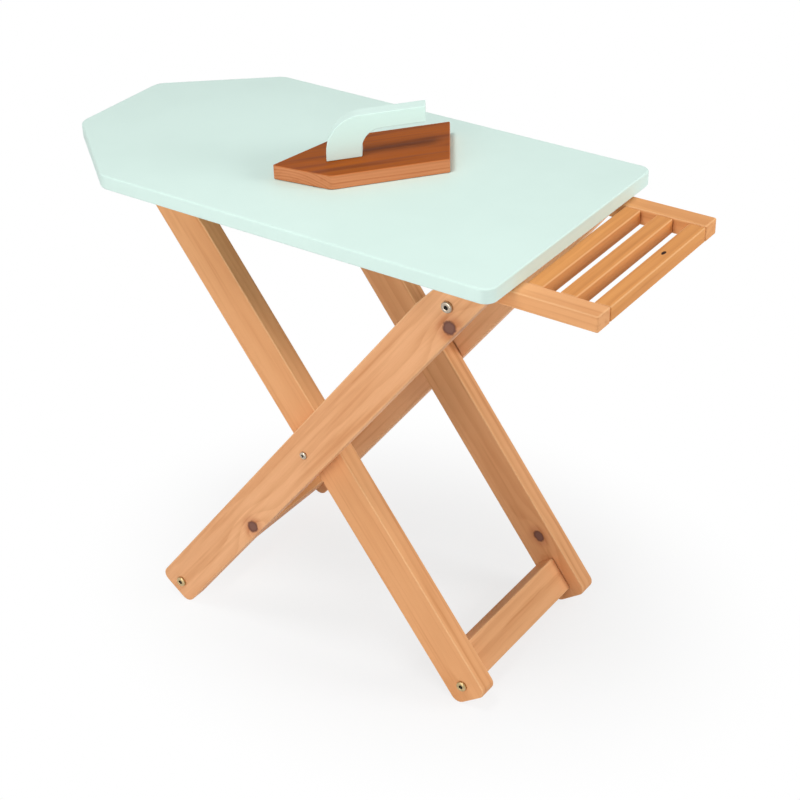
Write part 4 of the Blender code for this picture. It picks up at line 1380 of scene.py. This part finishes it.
# The shadow that the floor keeps: its middle, its shape, and how far out it is full and gone, in metres.
SHADOW_MIDDLE = (0.03, 0.03, 0.0)
SHADOW_SHAPE = (0.8, 1.0, 1.0)
SHADOW_FULL = 0.08
SHADOW_GONE = 0.34
# The lamps' places, the lengths of their sides, and the point that they aim at.
KEY_PLACE = (-0.05, -0.42, 1.65)
KEY_SIZE = 0.4
SIDE_PLACE = (1.7, 0.65, 1.12)
SIDE_SIZE = 0.8
FILL_PLACE = (0.0, -2.2, 0.7)
FILL_SIZE = 1.6
LAMP_TARGET = (0.0, 0.0, 0.3)


def seen_directly(nodes):
    """1 for rays from the camera, reflected or through glass, and 0 for light that falls on the object."""
    path = nodes.add("ShaderNodeLightPath").outputs
    seen = nodes.math("MAXIMUM", path["Is Camera Ray"], path["Is Glossy Ray"])
    return nodes.math("MAXIMUM", seen, path["Is Transmission Ray"])


def floor_material():
    """A white floor that keeps the object's shadow close to it and clears to white further out."""
    look = settings().stage
    material, nodes, _ = new_material("white_floor")
    tree = material.node_tree
    tree.nodes.remove(tree.nodes["Principled BSDF"])
    place = object_place(nodes)
    offset = nodes.vector("MULTIPLY", nodes.vector("SUBTRACT", place, SHADOW_MIDDLE), SHADOW_SHAPE)
    white_share = nodes.step(nodes.vector("LENGTH", offset), SHADOW_FULL, SHADOW_GONE, look.floor_lift, 1.0)
    grain = nodes.math("MULTIPLY", nodes.noise(place, FLOOR_GRAIN_WAVES), FLOOR_GRAIN_SHARE)
    tone = nodes.blend(grain, look.floor_colour, FLOOR_GRAIN_COLOUR)
    lit = nodes.add("ShaderNodeBsdfDiffuse", {"Color": tone}).outputs[0]
    white = nodes.add("ShaderNodeEmission", {"Strength": 1.0}).outputs[0]
    share = nodes.math("MULTIPLY", white_share, seen_directly(nodes))
    clear = nodes.add("ShaderNodeMixShader", {0: share, 1: lit, 2: white}).outputs[0]
    tree.links.new(clear, tree.nodes["Material Output"].inputs["Surface"])
    return material


def make_floor():
    """A flat grid of two rows and two columns."""
    side = np.array((-1, 1)) * FLOOR_SIZE / 2
    x, y = np.meshgrid(side, side)
    mesh = bpy.data.meshes.new("studio_floor")
    points = np.stack((x, y, np.zeros_like(x)), -1).reshape(-1, 3)
    mesh.from_pydata(points, [], [(0, 1, 3, 2)])
    mesh.materials.append(floor_material())
    floor = bpy.data.objects.new("studio_floor", mesh)
    bpy.context.scene.collection.objects.link(floor)


def make_lamp(name, place, size, share):
    """A square lamp aimed at the object, with the power that gives white paper there this share of white."""
    lamp = bpy.data.lights.new(name, "AREA")
    lamp.size = size
    beam = Vector(LAMP_TARGET) - Vector(place)
    lamp.energy = share * math.pi ** 2 * beam.length_squared
    item = bpy.data.objects.new(name, lamp)
    item.location = place
    item.rotation_euler = beam.to_track_quat("-Z", "Y").to_euler()
    bpy.context.scene.collection.objects.link(item)


def make_world():
    """Light from all round: white where it is seen, and dimmer where it lights the object."""
    world = bpy.data.worlds.new("soft_light")
    world.use_nodes = True
    nodes = Nodes(world.node_tree)
    background = world.node_tree.nodes["Background"].inputs
    background["Color"].default_value = (1, 1, 1, 1)
    ambient = settings().stage.ambient
    nodes.put(background["Strength"], nodes.math("MULTIPLY_ADD", seen_directly(nodes), 1 - ambient, ambient))
    bpy.context.scene.world = world


def make_camera():
    """The camera at the photograph's place: its z looks back from the target, rolled about its own axis."""
    look = settings().stage
    place, target = Vector(look.camera_place), Vector(look.camera_target)
    ahead = (target - place).normalized()
    level = ahead.cross(Vector((0, 0, 1))).normalized()
    over = level.cross(ahead)
    cos, sin = math.cos(look.camera_roll), math.sin(look.camera_roll)
    right, up = level * cos - over * sin, over * cos + level * sin
    camera = bpy.data.cameras.new("photo_camera")
    camera.lens = look.lens
    item = bpy.data.objects.new("photo_camera", camera)
    item.matrix_world = Matrix.Translation(place) @ Matrix((right, up, -ahead)).transposed().to_4x4()
    bpy.context.scene.collection.objects.link(item)
    bpy.context.scene.camera = item


def make_stage():
    """The floor, the lamps, the light from all round and the camera."""
    look = settings().stage
    make_floor()
    make_lamp("key_lamp", KEY_PLACE, KEY_SIZE, look.key)
    make_lamp("side_lamp", SIDE_PLACE, SIDE_SIZE, look.side)
    make_lamp("fill_lamp", FILL_PLACE, FILL_SIZE, look.fill)
    make_world()
    make_camera()
    bpy.context.scene.view_settings.view_transform = "Standard"


class IRONINGBOARD_OT_board(bpy.types.Operator):
    """Makes the painted board."""

    bl_idname = "ironing_board.board"
    bl_label = "Board"

    def execute(self, context):
        make_board()
        return {"FINISHED"}


class IRONINGBOARD_OT_rack(bpy.types.Operator):
    """Makes the rails and slats of the iron's rest."""

    bl_idname = "ironing_board.rack"
    bl_label = "Iron rest"

    def execute(self, context):
        make_rack()
        return {"FINISHED"}


class IRONINGBOARD_OT_cleats(bpy.types.Operator):
    """Makes the blocks under the board that carry the outer legs."""

    bl_idname = "ironing_board.cleats"
    bl_label = "Cleats"

    def execute(self, context):
        make_cleats()
        return {"FINISHED"}


class IRONINGBOARD_OT_outer_legs(bpy.types.Operator):
    """Makes the outer pair of legs and their stretcher."""

    bl_idname = "ironing_board.outer_legs"
    bl_label = "Outer legs"

    def execute(self, context):
        make_outer_legs()
        return {"FINISHED"}


class IRONINGBOARD_OT_inner_legs(bpy.types.Operator):
    """Makes the inner pair of legs, their stretcher and their top bar."""

    bl_idname = "ironing_board.inner_legs"
    bl_label = "Inner legs"

    def execute(self, context):
        make_inner_legs()
        return {"FINISHED"}


class IRONINGBOARD_OT_iron(bpy.types.Operator):
    """Makes the toy iron's base and handle."""

    bl_idname = "ironing_board.iron"
    bl_label = "Iron"

    def execute(self, context):
        make_iron_base()
        make_iron_handle()
        return {"FINISHED"}


class IRONINGBOARD_OT_fasteners(bpy.types.Operator):
    """Makes the bolts, screws, washers and cross nuts, and finishes the hidden pegs and inserts."""

    bl_idname = "ironing_board.fasteners"
    bl_label = "Fasteners"

    def execute(self, context):
        make_fasteners()
        finish_hidden_pieces()
        return {"FINISHED"}


class IRONINGBOARD_OT_stage(bpy.types.Operator):
    """Makes the floor, the lamps, the surrounding light and the camera."""

    bl_idname = "ironing_board.stage"
    bl_label = "Stage"

    def execute(self, context):
        make_stage()
        return {"FINISHED"}


PIECE_OPERATORS = (
    IRONINGBOARD_OT_board, IRONINGBOARD_OT_rack, IRONINGBOARD_OT_cleats, IRONINGBOARD_OT_outer_legs,
    IRONINGBOARD_OT_inner_legs, IRONINGBOARD_OT_iron, IRONINGBOARD_OT_fasteners, IRONINGBOARD_OT_stage,
)


class IRONINGBOARD_PT_sidebar(bpy.types.Panel):
    """Lists the pieces that can be made."""

    bl_idname = "IRONINGBOARD_PT_sidebar"
    bl_label = "Toy Ironing Board"
    bl_space_type = "VIEW_3D"
    bl_region_type = "UI"
    bl_category = PANEL_TAB

    def draw(self, context):
        for operator in PIECE_OPERATORS:
            self.layout.operator(operator.bl_idname)


CLASSES = (
    BoardSizes, WoodSizes, IronSizes, FastenerSizes, PaintFinish, PineFinish, SoleFinish, MetalFinish,
    StageSettings, IroningBoardSettings, *PIECE_OPERATORS, IRONINGBOARD_PT_sidebar,
)


def register():
    for item in CLASSES:
        bpy.utils.register_class(item)
    bpy.types.Scene.ironing_board = PointerProperty(type=IroningBoardSettings)


def unregister():
    del bpy.types.Scene.ironing_board
    for item in reversed(CLASSES):
        bpy.utils.unregister_class(item)


def main():
    register()
    bpy.ops.ironing_board.board()
    bpy.ops.ironing_board.rack()
    bpy.ops.ironing_board.cleats()
    bpy.ops.ironing_board.outer_legs()
    bpy.ops.ironing_board.inner_legs()
    bpy.ops.ironing_board.iron()
    bpy.ops.ironing_board.fasteners()
    bpy.ops.ironing_board.stage()


if __name__ == "__main__":
    main()
